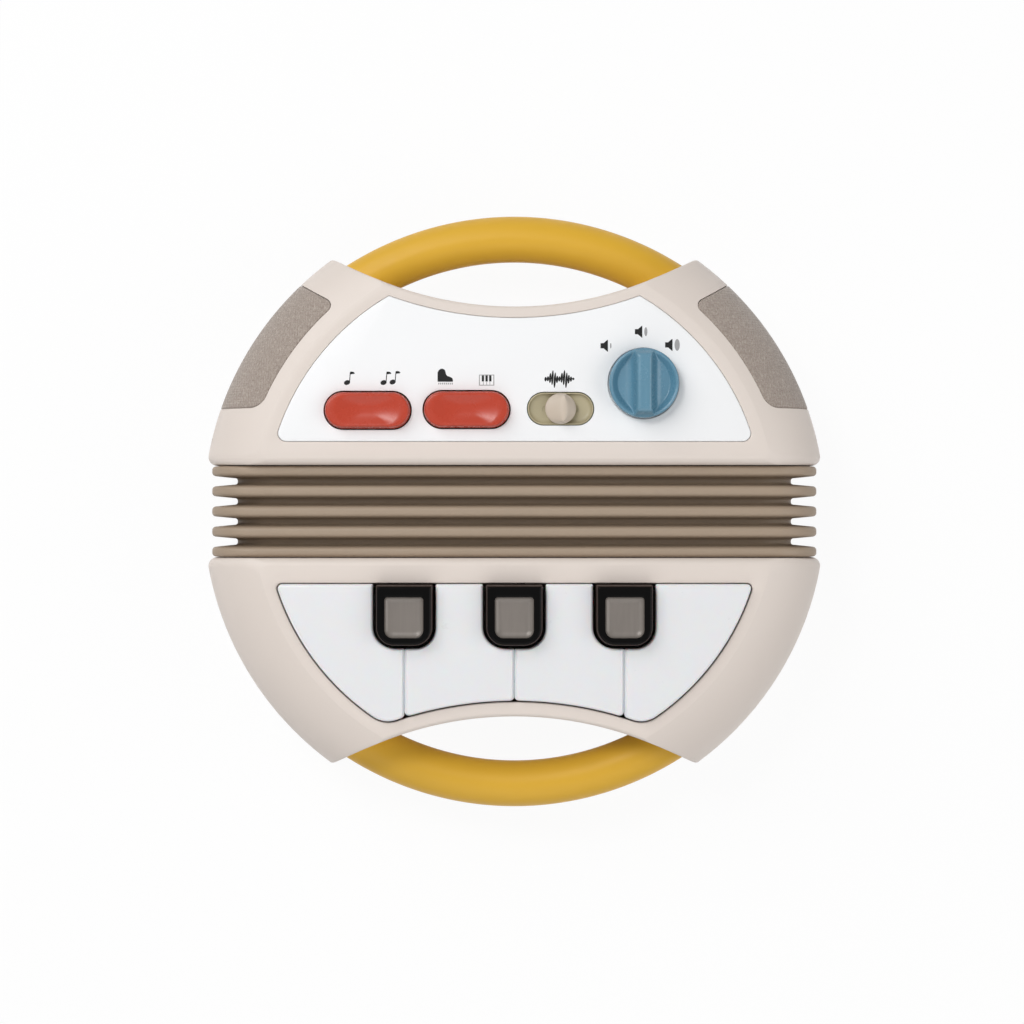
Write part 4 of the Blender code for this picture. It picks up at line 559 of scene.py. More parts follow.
def back_rings(side):
    """A back shell: a shallow tray with a rounded outer edge, open at the seam."""
    flat_radius = DISC_RADIUS - BACK_ROUND_WIDTH
    rings = seam_rings(side, -1)
    for cosine, sine in quarter(16):
        z = BACK_ROUND_HEIGHT * (1 - sine)
        drop = edge_round(CUT_EDGE, z)
        radius = flat_radius + BACK_ROUND_WIDTH * cosine
        rings.append(half_ring(side, radius, BASE_Y + drop, CUT_RADIUS + drop, z))
    rings.reverse()
    walls = (BASE_Y + WALL, CUT_RADIUS + WALL)
    rings.append(half_ring(side, DISC_RADIUS - WALL, *walls, SEAM_Z - GAP / 2))
    for turn in (0, 20, 45, 65, 90):
        swing = math.radians(turn)
        radius = flat_radius + (BACK_ROUND_WIDTH - WALL) * math.cos(swing)
        z = BACK_ROUND_HEIGHT - (BACK_ROUND_HEIGHT - WALL) * math.sin(swing)
        rings.append(half_ring(side, radius, *walls, z))
    return rings


def handle_rings(side, tube, around=40, steps=120):
    """The handle tube, swept along the arc that its two screws stand on."""
    x, y = between_arcs(DISC_RADIUS - HANDLE_END_RIM, CUT_RADIUS + HANDLE_END_CUT)
    rise = HANDLE_REACH - y
    radius = (x**2 + rise**2) / (2 * rise)
    centre_y = HANDLE_REACH - radius
    end = math.atan2(x, y - centre_y) + HANDLE_TUBE / radius
    rings = []
    for i in range(steps + 1):
        turn = -end + 2 * end * i / steps
        across, ahead = math.sin(turn), math.cos(turn)
        ring = [(radius + out, SEAM_Z + up) for out, up in circle(tube, sides=around)]
        rings.append([(reach * across, side * (centre_y + reach * ahead), z) for reach, z in ring])
    return rings


def handle_way(name, side):
    """A cutter for the way of the handle's tube."""
    return piece(f"{name}_handle_way", handle_rings(side, HANDLE_TUBE + GAP))


def wall_ways(name, side):
    """Cutters for the guide rods and the cable through the wall at the bellows."""
    cutters = []
    ends = sorted((side * (BASE_Y - EPS), side * (BASE_Y + WALL + EPS)))
    for i, (x, radius) in enumerate(((-ROD_X, ROD_WAY), (0.0, CABLE_WAY), (ROD_X, ROD_WAY))):
        rings = [along(circle(radius, (x, SEAM_Z), 32), y) for y in ends]
        cutters.append(piece(f"{name}_way_{i}", rings))
    return cutters


def cloth_rows(mirror, grow, rows, columns, lift):
    """A grid of points on the shoulder inside the cloth's edges, lifted by lift(metres from an edge)."""
    inner_turn = math.acos((CLOTH_RADIUS - grow - SHOULDER_R) / SHOULDER_WIDTH)
    turns = [inner_turn * (1 - (i / rows) ** CLOTH_CROWDING) for i in range(rows + 1)]
    profile = [(*shoulder(turn), turn) for turn in turns]
    fall = CLOTH_LOW_Z - grow - SHOULDER_Z
    profile += [(DISC_RADIUS, SHOULDER_Z + fall * i / 4, 0.0) for i in range(1, 5)]
    runs = [0.0]
    for here, there in zip(profile, profile[1:]):
        runs.append(runs[-1] + math.dist(here[:2], there[:2]))
    sheet = []
    for run, (radius, z, turn) in zip(runs, profile):
        from_edge = radius - (CLOTH_RADIUS - grow)
        trim = edge_round(CLOTH_CORNER, from_edge) if z > SHOULDER_Z else 0.0
        first = math.asin((CLOTH_BASE_Y - grow + trim) / radius)
        last = math.asin(between_arcs(radius, CLOTH_CUT - grow + trim)[1] / radius)
        line = []
        for i in range(columns + 1):
            share = (1 - math.cos(math.pi * i / columns)) / 2
            swing = first + (last - first) * share
            across = min(share, 1 - share) * (last - first) * radius
            offset = lift(min(across, run, runs[-1] - run))
            reach = radius + offset * math.cos(turn)
            x, y = mirror * reach * math.cos(swing), reach * math.sin(swing)
            line.append((x, y, z + offset * math.sin(turn)))
        sheet.append(line)
    return sheet


def cloth_cutter(mirror):
    """Rings of the recess that the cloth lies in."""
    above = cloth_rows(mirror, GAP / 2, 26, 36, lambda edge: 2 * MM)
    below = cloth_rows(mirror, GAP / 2, 26, 36, lambda edge: -CLOTH_THICKNESS - GAP)
    return [top + list(reversed(bottom)) for top, bottom in zip(above, below)]


def door_plan(grow=0.0):
    """Corners of the battery door, grown outwards."""
    low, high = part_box("battery_door")
    corners = rectangle((low[0] - grow, low[1] - grow), (high[0] + grow, high[1] + grow))
    return [(*corner, DOOR_CORNER) for corner in corners]


def add_shells(looks):
    """The four housing shells."""
    panel = drawn_in(PANEL, -GAP)
    ledge = drawn_in(panel, LEDGE_WIDTH)
    rings = front_rings(1, panel, PANEL_EDGE, PANEL_CORNER, PANEL_TIP)
    steps = ((panel, LEDGE_Z), (ledge, LEDGE_Z), (ledge, CEILING_Z))
    rings += [half_ring(1, *edges, z, PANEL_CORNER, PANEL_TIP) for edges, z in steps]
    upper = piece("upper_front_look", rings + inside_rings(1), looks["housing"], joined=True)
    cutters = [handle_way("upper_front", 1)]
    for word, mirror in (("left", -1), ("right", 1)):
        cutters.append(piece(f"cloth_recess_{word}", cloth_cutter(mirror), strips=True))
    cut(upper, cutters + wall_ways("upper_front", 1))
    dress(upper, "upper_half", "housing", "upper_front_shell")

    opening = (KEY_RADIUS, KEY_BASE_Y, KEY_CUT)
    rings = front_rings(-1, opening, KEY_LIP, KEY_CORNER, KEY_TIP)
    rings.append(half_ring(-1, *opening, CEILING_Z, KEY_CORNER, KEY_TIP))
    lower = piece("lower_front_look", rings + inside_rings(-1), looks["housing"], joined=True)
    cut(lower, [handle_way("lower_front", -1)] + wall_ways("lower_front", -1))
    dress(lower, "lower_half", "housing", "lower_front_shell")

    for word, side in (("upper", 1), ("lower", -1)):
        back = piece(f"{word}_back_look", back_rings(side), looks["housing"])
        cutters = [handle_way(f"{word}_back", side)]
        for i in range(1, 5):
            bore = circle(SCREW_WAY, middle_of(f"{word}_screw_{i}"), 32)
            cutters.append(prism(f"{word}_back_bore_{i}", bore, -EPS, SCREW_HEAD_Z))
        if word == "upper":
            cutters.append(prism("door_pocket", rounded(door_plan(GAP)), -EPS, DOOR_THICKNESS + GAP))
        cut(back, cutters + wall_ways(f"{word}_back", side))
        dress(back, f"{word}_half", "housing", f"{word}_back_shell")


def add_door(looks):
    """The battery door, with the stepped hole for its screw."""
    edge = DOOR_CHAMFER
    levels = [(edge, 0), (edge / 3, edge / 3), (0, edge), (0, DOOR_THICKNESS)]
    rings = [level(inset_rounded(door_plan(), inset), z) for inset, z in levels]
    door = piece("battery_door_look", rings, looks["housing"])
    place = middle_of("battery_door_screw")
    steps = [(SCREW_WAY, -EPS), (SCREW_WAY, DOOR_THICKNESS / 2), (SCREW_HOLE, DOOR_THICKNESS / 2),
             (SCREW_HOLE, DOOR_THICKNESS + EPS)]
    cut(door, [piece("door_hole", [level(circle(radius, place, 32), z) for radius, z in steps])])
    dress(door, "upper_half", "housing", "battery_door")


def add_handles(looks):
    """The two tube handles."""
    for word, side, body in (("top", 1, "upper_half"), ("bottom", -1, "lower_half")):
        handle = piece(f"{word}_handle_look", handle_rings(side, HANDLE_TUBE), looks["handle"], sharp=60)
        dress(handle, body, "handle", f"{word}_handle")


def rib_profile():
    """(y, inset) of the bellows' outer face from one end to the other, crests and valleys rounded."""
    half = RIB_THICKNESS / 2
    reach = VALLEY_WIDTH / 2
    corners = []
    for i in range(RIB_COUNT):
        middle = (i - (RIB_COUNT - 1) / 2) * RIB_PITCH
        corners += [(middle - half, 0.0, RIB_ROUND), (middle + half, 0.0, RIB_ROUND)]
        if i < RIB_COUNT - 1:
            valley = middle + RIB_PITCH / 2
            corners += [(valley - reach, RIB_DEPTH, VALLEY_ROUND), (valley + reach, RIB_DEPTH, VALLEY_ROUND)]
    inner = RIB_DEPTH + BELLOWS_SKIN
    corners += [(BELLOWS_END, inner, 0), (-BELLOWS_END, inner, 0)]
    return rounded(corners, 7)


def add_bellows(looks):
    """The ribbed sleeve between the two halves, built once in place."""
    rings = []
    for y, inset in rib_profile():
        half = RIB_HALF_WIDTH - inset
        corners = rectangle((-half, BELLOWS_BACK + inset), (half, BELLOWS_FRONT - inset))
        radius = BELLOWS_CORNER - inset * BELLOWS_CORNER_FALL
        rings.append(along(rounded([(*corner, radius) for corner in corners], 16), y))
    bellows = piece("bellows_look", rings, looks["bellows"], joined=True, sharp=50)
    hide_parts("bellows")
    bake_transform(bellows)


def add_panel(looks):
    """The control panel with rounded edges and the openings for its controls."""
    low = PANEL_Z - PANEL_THICKNESS
    rings = [half_ring(1, *drawn_in(PANEL, -PANEL_SWELL), low, PANEL_CORNER, PANEL_TIP)]
    for cosine, sine in quarter(4):
        edges = drawn_in(PANEL, PANEL_EDGE * (1 - cosine) - PANEL_SWELL)
        rings.append(half_ring(1, *edges, PANEL_Z - PANEL_EDGE * (1 - sine), PANEL_CORNER, PANEL_TIP))
    panel = piece("control_panel_look", rings, looks["panel"])
    top = PANEL_Z + EPS
    cutters = []
    for word, place in ROCKER_PLACES.items():
        outline = stadium(ROCKER_LENGTH, ROCKER_WIDTH, place, -ROCKER_GAP)
        cutters.append(prism(f"rocker_hole_{word}", outline, LEDGE_Z, top))
    cutters.append(prism("bed_hole", stadium(*SLIDER_BED, SLIDER_PLACE, -GAP), LEDGE_Z, top))
    hole = circle(KNOB_SHAFT + 3 * GAP, KNOB_PLACE, 96)
    well = circle(KNOB_RADIUS + KNOB_WELL, KNOB_PLACE, 96)
    floor = PANEL_Z - KNOB_WELL_DEPTH
    rings = [level(hole, LEDGE_Z), level(hole, floor), level(well, floor), level(well, top)]
    cutters.append(piece("shaft_hole", rings))
    cut(panel, cutters)
    dress(panel, "upper_half", "panel", "control_panel")


def add_cloths(looks):
    """The two speaker cloths, stretched over the shoulders with turned-down edges."""
    def lift(edge):
        share = min(edge / CLOTH_EDGE, 1.0)
        return -CLOTH_DROP * (1 - math.sqrt(1 - (1 - share) ** 2))

    for word, mirror in (("left", -1), ("right", 1)):
        rows = cloth_rows(mirror, 0.0, 48, 72, lift)
        bm = bmesh.new()
        grid = [[bm.verts.new(point) for point in row] for row in rows]
        for here, there in zip(grid, grid[1:]):
            for i in range(len(here) - 1):
                bm.faces.new((here[i], here[i + 1], there[i + 1], there[i]))
        if mirror > 0:
            bmesh.ops.reverse_faces(bm, faces=bm.faces)
        area = sum(face.calc_area() for face in bm.faces)
        cloth = from_bmesh(f"speaker_cloth_{word}_look", bm, looks["cloth"], 80)
        dress(cloth, "upper_half", "cloth", f"speaker_cloth_{word}")


def notch(centre_x, sign):
    """Half of the gap that a white key leaves round a black one, from its far end to its side."""
    reach = BLACK_WIDTH / 2 + KEY_GAP
    radius = BLACK_CORNER + KEY_GAP
    corner = (centre_x + sign * (reach - radius), NOTCH_END + radius)
    finish = 0.0 if sign > 0 else -math.pi
    return arc(corner, radius, -math.pi / 2, finish, 14)


def white_corners(outer, flange=0.0):
    """Plan of a white key left of the middle; the flange brings its sides nearer to the next keys."""
    rear = -(KEY_BASE_Y + KEY_REAR_GAP)
    half_gap = KEY_GAP / 2 - flange
    cut_radius = KEY_CUT + KEY_FRONT_GAP
    if outer:
        right = -KEY_PITCH - half_gap
        radius = KEY_RADIUS - KEY_FRONT_GAP
        top_turn = math.pi + math.asin(-rear / radius)
        tip_x, tip_y = between_arcs(KEY_RADIUS - KEY_TIP, KEY_CUT + KEY_TIP)
        tip_turn = math.pi + math.atan2(tip_y, tip_x)
        cut_turn = math.tau + math.atan2(tip_y - CUT_CENTRE_Y, tip_x)
        side = arc((0, 0), radius, top_turn, tip_turn, 24)[:-1]
        side += arc((-tip_x, -tip_y), KEY_TIP - KEY_FRONT_GAP, tip_turn, cut_turn, 14)
        low_left = side[-1][0]
        corners = [(*side[0], KEY_OUTER_CORNER)] + [(*point, 0) for point in side[2:]]
        first = steps = 1
    else:
        right = -half_gap
        low_left = -KEY_PITCH + half_gap
        hook = list(reversed(notch(-KEY_PITCH, 1)))
        corners = [(hook[0][0], rear, KEY_SMALL_CORNER)] + [(*point, 0) for point in hook]
        corners.append((low_left, NOTCH_END, KEY_SMALL_CORNER))
        first, steps = 0, 18
    for i in range(first, steps + 1):
        x = low_left + (right - low_left) * i / steps
        y = -CUT_CENTRE_Y + math.sqrt(cut_radius**2 - x**2)
        corners.append((x, y, KEY_LOW_CORNER if i in (0, steps) else 0))
    corners.append((right, NOTCH_END, KEY_SMALL_CORNER))
    hook = notch(-KEY_PITCH if outer else 0.0, -1)
    corners += [(*point, 0) for point in hook]
    corners.append((hook[-1][0], rear, KEY_SMALL_CORNER))
    return corners


def round_levels(edge, top, steps):
    """(inset, z) pairs of a rounded edge that ends on the top face."""
    return [(edge * (1 - cosine), top - edge * (1 - sine)) for cosine, sine in quarter(steps)]


def add_white_keys(looks):
    """Four white keys, the right-hand two mirrored from the left-hand ones."""
    low = WHITE_Z - WHITE_THICKNESS
    groove = WHITE_Z - KEY_GROOVE
    skirt = [(KEY_CHAMFER, low), (0, low + KEY_CHAMFER), (0, groove - KEY_STEP)]
    top = [(0, groove)] + round_levels(WHITE_EDGE, WHITE_Z, 8)
    for number, outer, mirror in ((1, True, 1), (2, False, 1), (3, False, -1), (4, True, -1)):
        rings = []
        for profile, flange in ((skirt, KEY_FLANGE), (top, 0.0)):
            corners = white_corners(outer, flange)
            for inset, z in profile:
                rings.append([(x * mirror, y, z) for x, y in inset_rounded(corners, inset, 5)])
        name = f"white_key_{number}"
        dress(piece(f"{name}_look", rings, looks["white_key"]), name, "white_key", name)


def tongue(x, half, near, far, near_corner, far_corner):
    """Corners of a plan that reaches from near to far, with x in its middle."""
    corners = ((-half, near, near_corner), (-half, far, far_corner), (half, far, far_corner),
               (half, near, near_corner))
    return [(x + out, y, radius) for out, y, radius in corners]


def add_black_keys(looks):
    """Three black keys with a satin thumb dish in a glossy frame, and painted shade: their sides and outer
    rounding are painted dark brown to stand in for the shadowed gap round them.
    """
    rear = -(KEY_BASE_Y + KEY_REAR_GAP)
    start = -(KEY_BASE_Y + KEY_GAP)
    end = start - BLACK_LENGTH
    near, far = start - DISH_START, start - DISH_END
    body = [(0, KEY_BOTTOM), (BLACK_DRAFT, BLACK_Z - BLACK_EDGE)]
    body += [(BLACK_DRAFT + inset, z) for inset, z in round_levels(BLACK_ROUND, BLACK_Z, 8)[1:]]
    bowl = [(inset * MM, BLACK_Z - down * MM) for inset, down in DISH_LIP]
    for cosine, sine in quarter(8):
        down = DISH_LIP_DEPTH + (DISH_DEPTH - DISH_LIP_DEPTH) * sine
        bowl.append((DISH_LIP_WIDTH + DISH_BOWL * (1 - cosine), BLACK_Z - down))
    for number in (1, 2, 3):
        x = (number - 2) * KEY_PITCH
        plan = tongue(x, BLACK_WIDTH / 2, rear, end, BLACK_REAR_CORNER, BLACK_CORNER)
        dish = tongue(x, DISH_WIDTH / 2, near, far, DISH_REAR_CORNER, DISH_CORNER)
        rings = [level(inset_rounded(plan, inset, 14), z) for inset, z in body]
        rings += [level(inset_rounded(dish, inset, 14), z) for inset, z in bowl]
        name = f"black_key_{number}"
        key = piece(f"{name}_look", rings, looks["black_key"])
        key.data.materials.append(looks["dish"])
        # Third finish: painted shade, a dark brown standing in for the shadowed gap round the key
        key.data.materials.append(looks["skirt"])
        for face in key.data.polygons:
            middle = face.center
            inside = abs(middle.x - x) < DISH_WIDTH / 2 and far < middle.y < near
            if inside and BLACK_Z - DISH_DEPTH - GAP < middle.z < BLACK_Z - DISH_GLOSS:
                face.material_index = 1
            # Faces below the top's rounding get the painted shade of the gap round the key
            elif middle.z < BLACK_Z - BLACK_PAINTED_SHADE_DROP:
                face.material_index = 2
        dress(key, name, "black_key", name)


def add_rockers(looks):
    """Two rocker caps, each with a long dish that almost reaches its long sides."""
    top, skirt, edge = ROCKER_TOP, ROCKER_SKIRT, ROCKER_EDGE
    profile = [(0.0, 0.0, ROCKER_LOW), (0.0, 0.0, top - ROCKER_SKIRT_DROP), (skirt, skirt, top - edge)]
    for cosine, sine in quarter(8)[1:]:
        inset = skirt + (edge - skirt) * (1 - cosine)
        profile.append((inset, inset, top - edge * (1 - sine)))
    for i, (_, sine) in enumerate(quarter(16)):
        end, side = ROCKER_END + ROCKER_END_SLOPE * i / 16, ROCKER_SIDE + ROCKER_SLOPE * i / 16
        profile.append((end, side, top - ROCKER_DISH * sine))
    for word, place in ROCKER_PLACES.items():
        rings = []
        for end, side, z in profile:
            rings.append(level(stadium(ROCKER_LENGTH - 2 * end, ROCKER_WIDTH - 2 * side, place), z))
        name = f"rocker_{word}"
        dress(piece(f"{name}_look", rings, looks["rocker"], sharp=50), name, "rocker", name)


def add_slider(looks):
    """The slider's bed with its slot, and the cap on its stem, drawn in to a ridge that leans to +X."""
    floor = PANEL_Z - SLIDER_RECESS
    profile = [(0, PANEL_Z - PANEL_THICKNESS - BED_DEPTH)] + round_levels(GAP, PANEL_Z, 4)
    for cosine, sine in quarter(8):
        profile.append((SLIDER_RIM + SLIDER_BOWL * (1 - cosine), PANEL_Z - SLIDER_RECESS * sine))
    rings = [level(stadium(*SLIDER_BED, SLIDER_PLACE, inset), z) for inset, z in profile]
    bed = piece("slider_bed_look", rings, looks["slider_bed"])
    half = SLIDER_STEM + GAP
    slot = stadium(2 * (SLIDER_TRAVEL + half), 2 * half, SLIDER_PLACE, steps=10)
    cut(bed, [prism("bed_slot", slot, floor - SLIDER_GROOVE, PANEL_Z + EPS)])
    dress(bed, "upper_half", "slider_bed", "slider_bed")

    x, y = SLIDER_PLACE
    base = floor + GAP
    stem = circle(SLIDER_STEM, SLIDER_PLACE, 56)
    rings = [level(stem, floor - SLIDER_GROOVE + GAP), level(stem, base)]
    for width, length, rise in CAP_STEPS:
        lean = SLIDER_RIDGE * min(1.0, (1 - width) / CAP_LEAN_SPAN) if rise > CAP_LEAN_START else 0.0
        ring = circle(SLIDER_CAP_RADIUS, sides=56)
        z = base + rise * SLIDER_CAP_HEIGHT
        rings.append([(x + lean + u * width, y + v * length, z) for u, v in ring])
    cap = piece("slider_cap_look", rings, looks["slider_cap"], sharp=60)
    dress(cap, "slider_cap", "slider_cap", "slider_cap")


def curve(table, share):
    """The value at a share of the way along a table, on a smooth curve through its points."""
    spans = list(zip(table, table[1:]))
    slopes = [(y1 - y0) / (x1 - x0) for (x0, y0), (x1, y1) in spans]
    for i, ((x0, y0), (x1, y1)) in enumerate(spans):
        if share <= x1 or i == len(spans) - 1:
            break
    start = (slopes[i - 1] + slopes[i]) / 2 if i else slopes[i]
    end = (slopes[i] + slopes[i + 1]) / 2 if i + 1 < len(slopes) else slopes[i]
    width = x1 - x0
    t = (share - x0) / width
    first = (1 + 2 * t) * y0 + t * width * start
    second = (3 - 2 * t) * y1 - (1 - t) * width * end
    return first * (1 - t) ** 2 + second * t**2


def knob_fall(u, v):
    """How far the knob's top falls, as a share of its height: a grip bar between two scoops in a rim."""
    bar = max(curve(KNOB_SCOOP, abs(u)), curve(KNOB_BAR_END, abs(v)))
    rim = curve(KNOB_RIM, math.hypot(u, v))
    near = max(KNOB_BLEND - abs(bar - rim), 0.0) / KNOB_BLEND
    return min(bar, rim) - near**2 * KNOB_BLEND / 4


def add_knob(looks):
    """The volume knob: a disc scooped out on both sides of a grip bar, with a rounded rim."""
    x, y = KNOB_PLACE
    low = PANEL_Z + GAP
    sides = 192
    reaches = [KNOB_RADIUS * i / 60 for i in range(1, 57)]
    reaches += [KNOB_RADIUS - KNOB_EDGE * (1 - sine) for _, sine in quarter(6)]
    bm = bmesh.new()
    rows = []
    for reach in reaches:
        rim = edge_round(KNOB_EDGE, KNOB_RADIUS - reach)
        row = []
        for u, v in circle(reach, sides=sides):
            fall = knob_fall(u / KNOB_RADIUS, v / KNOB_RADIUS) * KNOB_HEIGHT
            row.append(bm.verts.new((x + u, y + v, low + KNOB_HEIGHT - fall - rim)))
        rows.append(row)
    for radius, z in ((KNOB_RADIUS, low + KNOB_CHAMFER), (KNOB_RADIUS - KNOB_CHAMFER, low)):
        rows.append([bm.verts.new((x + u, y + v, z)) for u, v in circle(radius, sides=sides)])
    centre = bm.verts.new((x, y, low + KNOB_HEIGHT))
    for i in range(sides):
        j = (i + 1) % sides
        bm.faces.new((centre, rows[0][i], rows[0][j]))
        for here, there in zip(rows, rows[1:]):
            bm.faces.new((here[i], there[i], there[j], here[j]))
    bm.faces.new(reversed(rows[-1]))
    bmesh.ops.recalc_face_normals(bm, faces=bm.faces)
    knob = from_bmesh("volume_knob_look", bm, looks["knob"], 50)
    dress(knob, "volume_knob", "knob", "volume_knob")


def feed(socket, value):
    """Give an input a value, or link it from another node's output."""
    if isinstance(value, bpy.types.NodeSocket):
        socket.id_data.links.new(value, socket)
    else:
        socket.default_value = value


def fed(made, **inputs):
    """A node with its inputs fed by name."""
    for name, value in inputs.items():
        feed(made.inputs[name.replace("_", " ")], value)
    return made


def node(tree, kind, **inputs):
    """A new shader node with its inputs fed by name."""
    return fed(tree.nodes.new(kind), **inputs)


def place_of(tree, scale=(1.0, 1.0, 1.0)):
    """Object coordinates, stretched along each axis."""
    coordinates = node(tree, "ShaderNodeTexCoord").outputs["Object"]
    return node(tree, "ShaderNodeMapping", Vector=coordinates, Scale=scale).outputs["Vector"]


def noise_of(tree, place, scale, detail=3.0, roughness=0.55):
    """The value of a noise texture."""
    made = node(tree, "ShaderNodeTexNoise", Vector=place, Scale=scale, Detail=detail, Roughness=roughness)
    return made.outputs["Fac"]


def ranged(tree, value, low, high, start=0.0, end=1.0):
    """A value mapped from one range to another."""
    spans = {"From_Min": start, "From_Max": end, "To_Min": low, "To_Max": high}
    return node(tree, "ShaderNodeMapRange", Value=value, **spans).outputs["Result"]


def maths(tree, operation, first, second):
    """What an operation makes of two values."""
    made = tree.nodes.new("ShaderNodeMath")
    made.operation = operation
    feed(made.inputs[0], first)
    feed(made.inputs[1], second)
    return made.outputs["Value"]


def mixed(tree, factor, first, second):
    """A colour between two colours."""
    made = tree.nodes.new("ShaderNodeMix")
    made.data_type = "RGBA"
    feed(made.inputs["Factor"], factor)
    for name, color in (("A", first), ("B", second)):
        feed(made.inputs[name], (*color, 1.0) if isinstance(color, tuple) else color)
    return made.outputs["Result"]


def bump_of(tree, height, strength, distance):
    """A bumped normal."""
    made = node(tree, "ShaderNodeBump", Height=height, Strength=strength, Distance=distance)
    return made.outputs["Normal"]


def finish_of(name, roughness, **settings):
    """A new material and its Principled shader, with its even settings on the shader itself."""
    material = bpy.data.materials.new(LOOK + name)
    material.use_nodes = True
    shader = material.node_tree.nodes["Principled BSDF"]
    return material, material.node_tree, fed(shader, Roughness=roughness, **settings)


def plastic(name, color, roughness, spread=0.05, grain=2600.0, depth=0.03, tint=0.97, specular=0.5,
            **settings):
    """Moulded plastic: a fine grain in the bump, and a slow drift in its colour and roughness."""
    material, tree, shader = finish_of(name, roughness, Specular_IOR_Level=specular, **settings)
    place = place_of(tree)
    slow = noise_of(tree, place, 22.0, 4.0)
    scuffs = noise_of(tree, place, 160.0, 6.0, 0.7)
    fine = noise_of(tree, place, grain, 2.0)
    fed(shader, Base_Color=mixed(tree, slow, tuple(c * tint for c in color), color),
        Roughness=ranged(tree, scuffs, roughness - spread, roughness + spread, 0.3, 0.7),
        Normal=bump_of(tree, fine, depth, BUMP_DEPTH))
    return material


def speaker_cloth():
    """Heathered taupe cloth: threads both ways, and single threads that are lighter or darker."""
    material, tree, shader = finish_of("cloth", 0.9, Sheen_Weight=0.25, Sheen_Roughness=0.6)
    place = place_of(tree)
    warp = noise_of(tree, place_of(tree, (0.35, 1.0, 1.0)), 2100.0, 3.0, 0.7)
    weft = noise_of(tree, place_of(tree, (1.0, 0.35, 0.6)), 2100.0, 3.0, 0.7)
    blots = noise_of(tree, place, 600.0, 3.0, 0.6)
    dark, middle, light = (0.245, 0.195, 0.165), (0.352, 0.293, 0.252), (0.480, 0.415, 0.362)
    color = mixed(tree, ranged(tree, warp, 0.0, 1.0, 0.36, 0.62), dark, middle)
    color = mixed(tree, ranged(tree, weft, 0.0, 1.0, 0.48, 0.72), color, light)
    color = mixed(tree, ranged(tree, blots, 0.0, 0.35, 0.4, 0.65), color, middle)
    threads = []
    for direction in ("X", "Y"):
        wave = node(tree, "ShaderNodeTexWave", Vector=place, Scale=330.0, Distortion=1.2, Detail=2.0,
                    Detail_Scale=3.0)
        wave.bands_direction = direction
        threads.append(wave.outputs["Fac"])
    height = maths(tree, "ADD", maths(tree, "ADD", *threads), warp)
    fed(shader, Base_Color=color, Normal=bump_of(tree, height, 0.5, CLOTH_BUMP_DEPTH))
    return material


def brushed(name, color, roughness, metallic, stretch):
    """A surface brushed one way, with streaks in its colour, roughness and bump."""
    material, tree, shader = finish_of(name, roughness, Metallic=metallic)
    streaks = noise_of(tree, place_of(tree, stretch), 900.0, 3.0, 0.6)
    fed(shader, Base_Color=mixed(tree, streaks, tuple(c * 0.82 for c in color), color),
        Roughness=ranged(tree, streaks, roughness - 0.06, roughness + 0.08, 0.3, 0.7),
        Normal=bump_of(tree, streaks, 0.08, BUMP_DEPTH))
    return material


def circuit_board():
    """A green board with paler copper tracks under its lacquer."""
    material, tree, shader = finish_of("board", 0.35, Coat_Weight=0.4)
    place = place_of(tree)
    tracks = node(tree, "ShaderNodeTexBrick", Vector=place, Scale=90.0, Mortar_Size=0.012, Mortar_Smooth=0.2,
                  Color1=(0.025, 0.170, 0.065, 1), Color2=(0.028, 0.185, 0.070, 1),
                  Mortar=(0.070, 0.300, 0.110, 1))
    fed(shader, Base_Color=tracks.outputs["Color"],
        Roughness=ranged(tree, noise_of(tree, place, 700.0, 3.0), 0.28, 0.42, 0.3, 0.7),
        Normal=bump_of(tree, tracks.outputs["Fac"], 0.2, BOARD_BUMP_DEPTH))
    return material


def make_looks():
    """The finish of every slot, and of four details, one of them painted shade, with colours in linear
    values.
    """
    looks = (
        plastic("housing", (0.700, 0.625, 0.570), 0.50, depth=0.05),
        plastic("panel", (0.845, 0.850, 0.858), 0.45, tint=0.99),
        plastic("white_key", (0.770, 0.775, 0.790), 0.30, spread=0.03, depth=0.012, tint=0.993,
                Subsurface_Weight=0.25, Subsurface_Scale=0.002),
        plastic("black_key", (0.0020, 0.0018, 0.0018), 0.14, spread=0.03, depth=0.008, specular=0.06),
        # Painted shade: dark brown for the black keys' sides and outer rounding, in place of the shadowed
        # gap round them
        plastic("skirt", (0.034, 0.021, 0.017), 0.5, depth=0.02, tint=0.9, specular=0.15),
        brushed("dish", (0.180, 0.158, 0.140), 0.36, 0.2, (1.0, 0.08, 1.0)),
        plastic("handle", (0.690, 0.395, 0.030), 0.44, depth=0.05, tint=0.95, specular=0.35),
        plastic("bellows", (0.330, 0.252, 0.182), 0.55, depth=0.10, tint=0.93, grain=1800.0),
        speaker_cloth(),
        plastic("rocker", (0.455, 0.044, 0.017), 0.27, depth=0.008, tint=0.96, specular=0.35),
        plastic("slider_bed", (0.400, 0.350, 0.222), 0.42, depth=0.04),
        plastic("slider_cap", (0.545, 0.462, 0.375), 0.40, depth=0.04),
        plastic("knob", (0.100, 0.238, 0.335), 0.27, depth=0.012),
        plastic("ink", (0.009, 0.009, 0.009), 0.6, depth=0.02, tint=0.8, specular=0.2),
        plastic("pale_ink", (0.330, 0.330, 0.330), 0.5, depth=0.02, tint=0.9),
        brushed("steel", (0.600, 0.600, 0.610), 0.28, 1.0, (1.0, 1.0, 0.1)),
        circuit_board(),
        plastic("dome_rubber", (0.300, 0.300, 0.300), 0.65, depth=0.05, tint=0.9),
        plastic("dark_plastic", (0.030, 0.030, 0.034), 0.45, depth=0.05, tint=0.8),
        brushed("battery_jacket", (0.080, 0.100, 0.300), 0.32, 0.4, (0.1, 1.0, 1.0)),
    )
    return {look.name.removeprefix(LOOK): look for look in looks}


def dress_nodes(looks):
    """Give every CAD node the finish of its slot."""
    for part in frame["record"]["subparts"]:
        for slot in frame["nodes"][part["node"]].material_slots:
            slot.material = looks[part["material_slot"]]


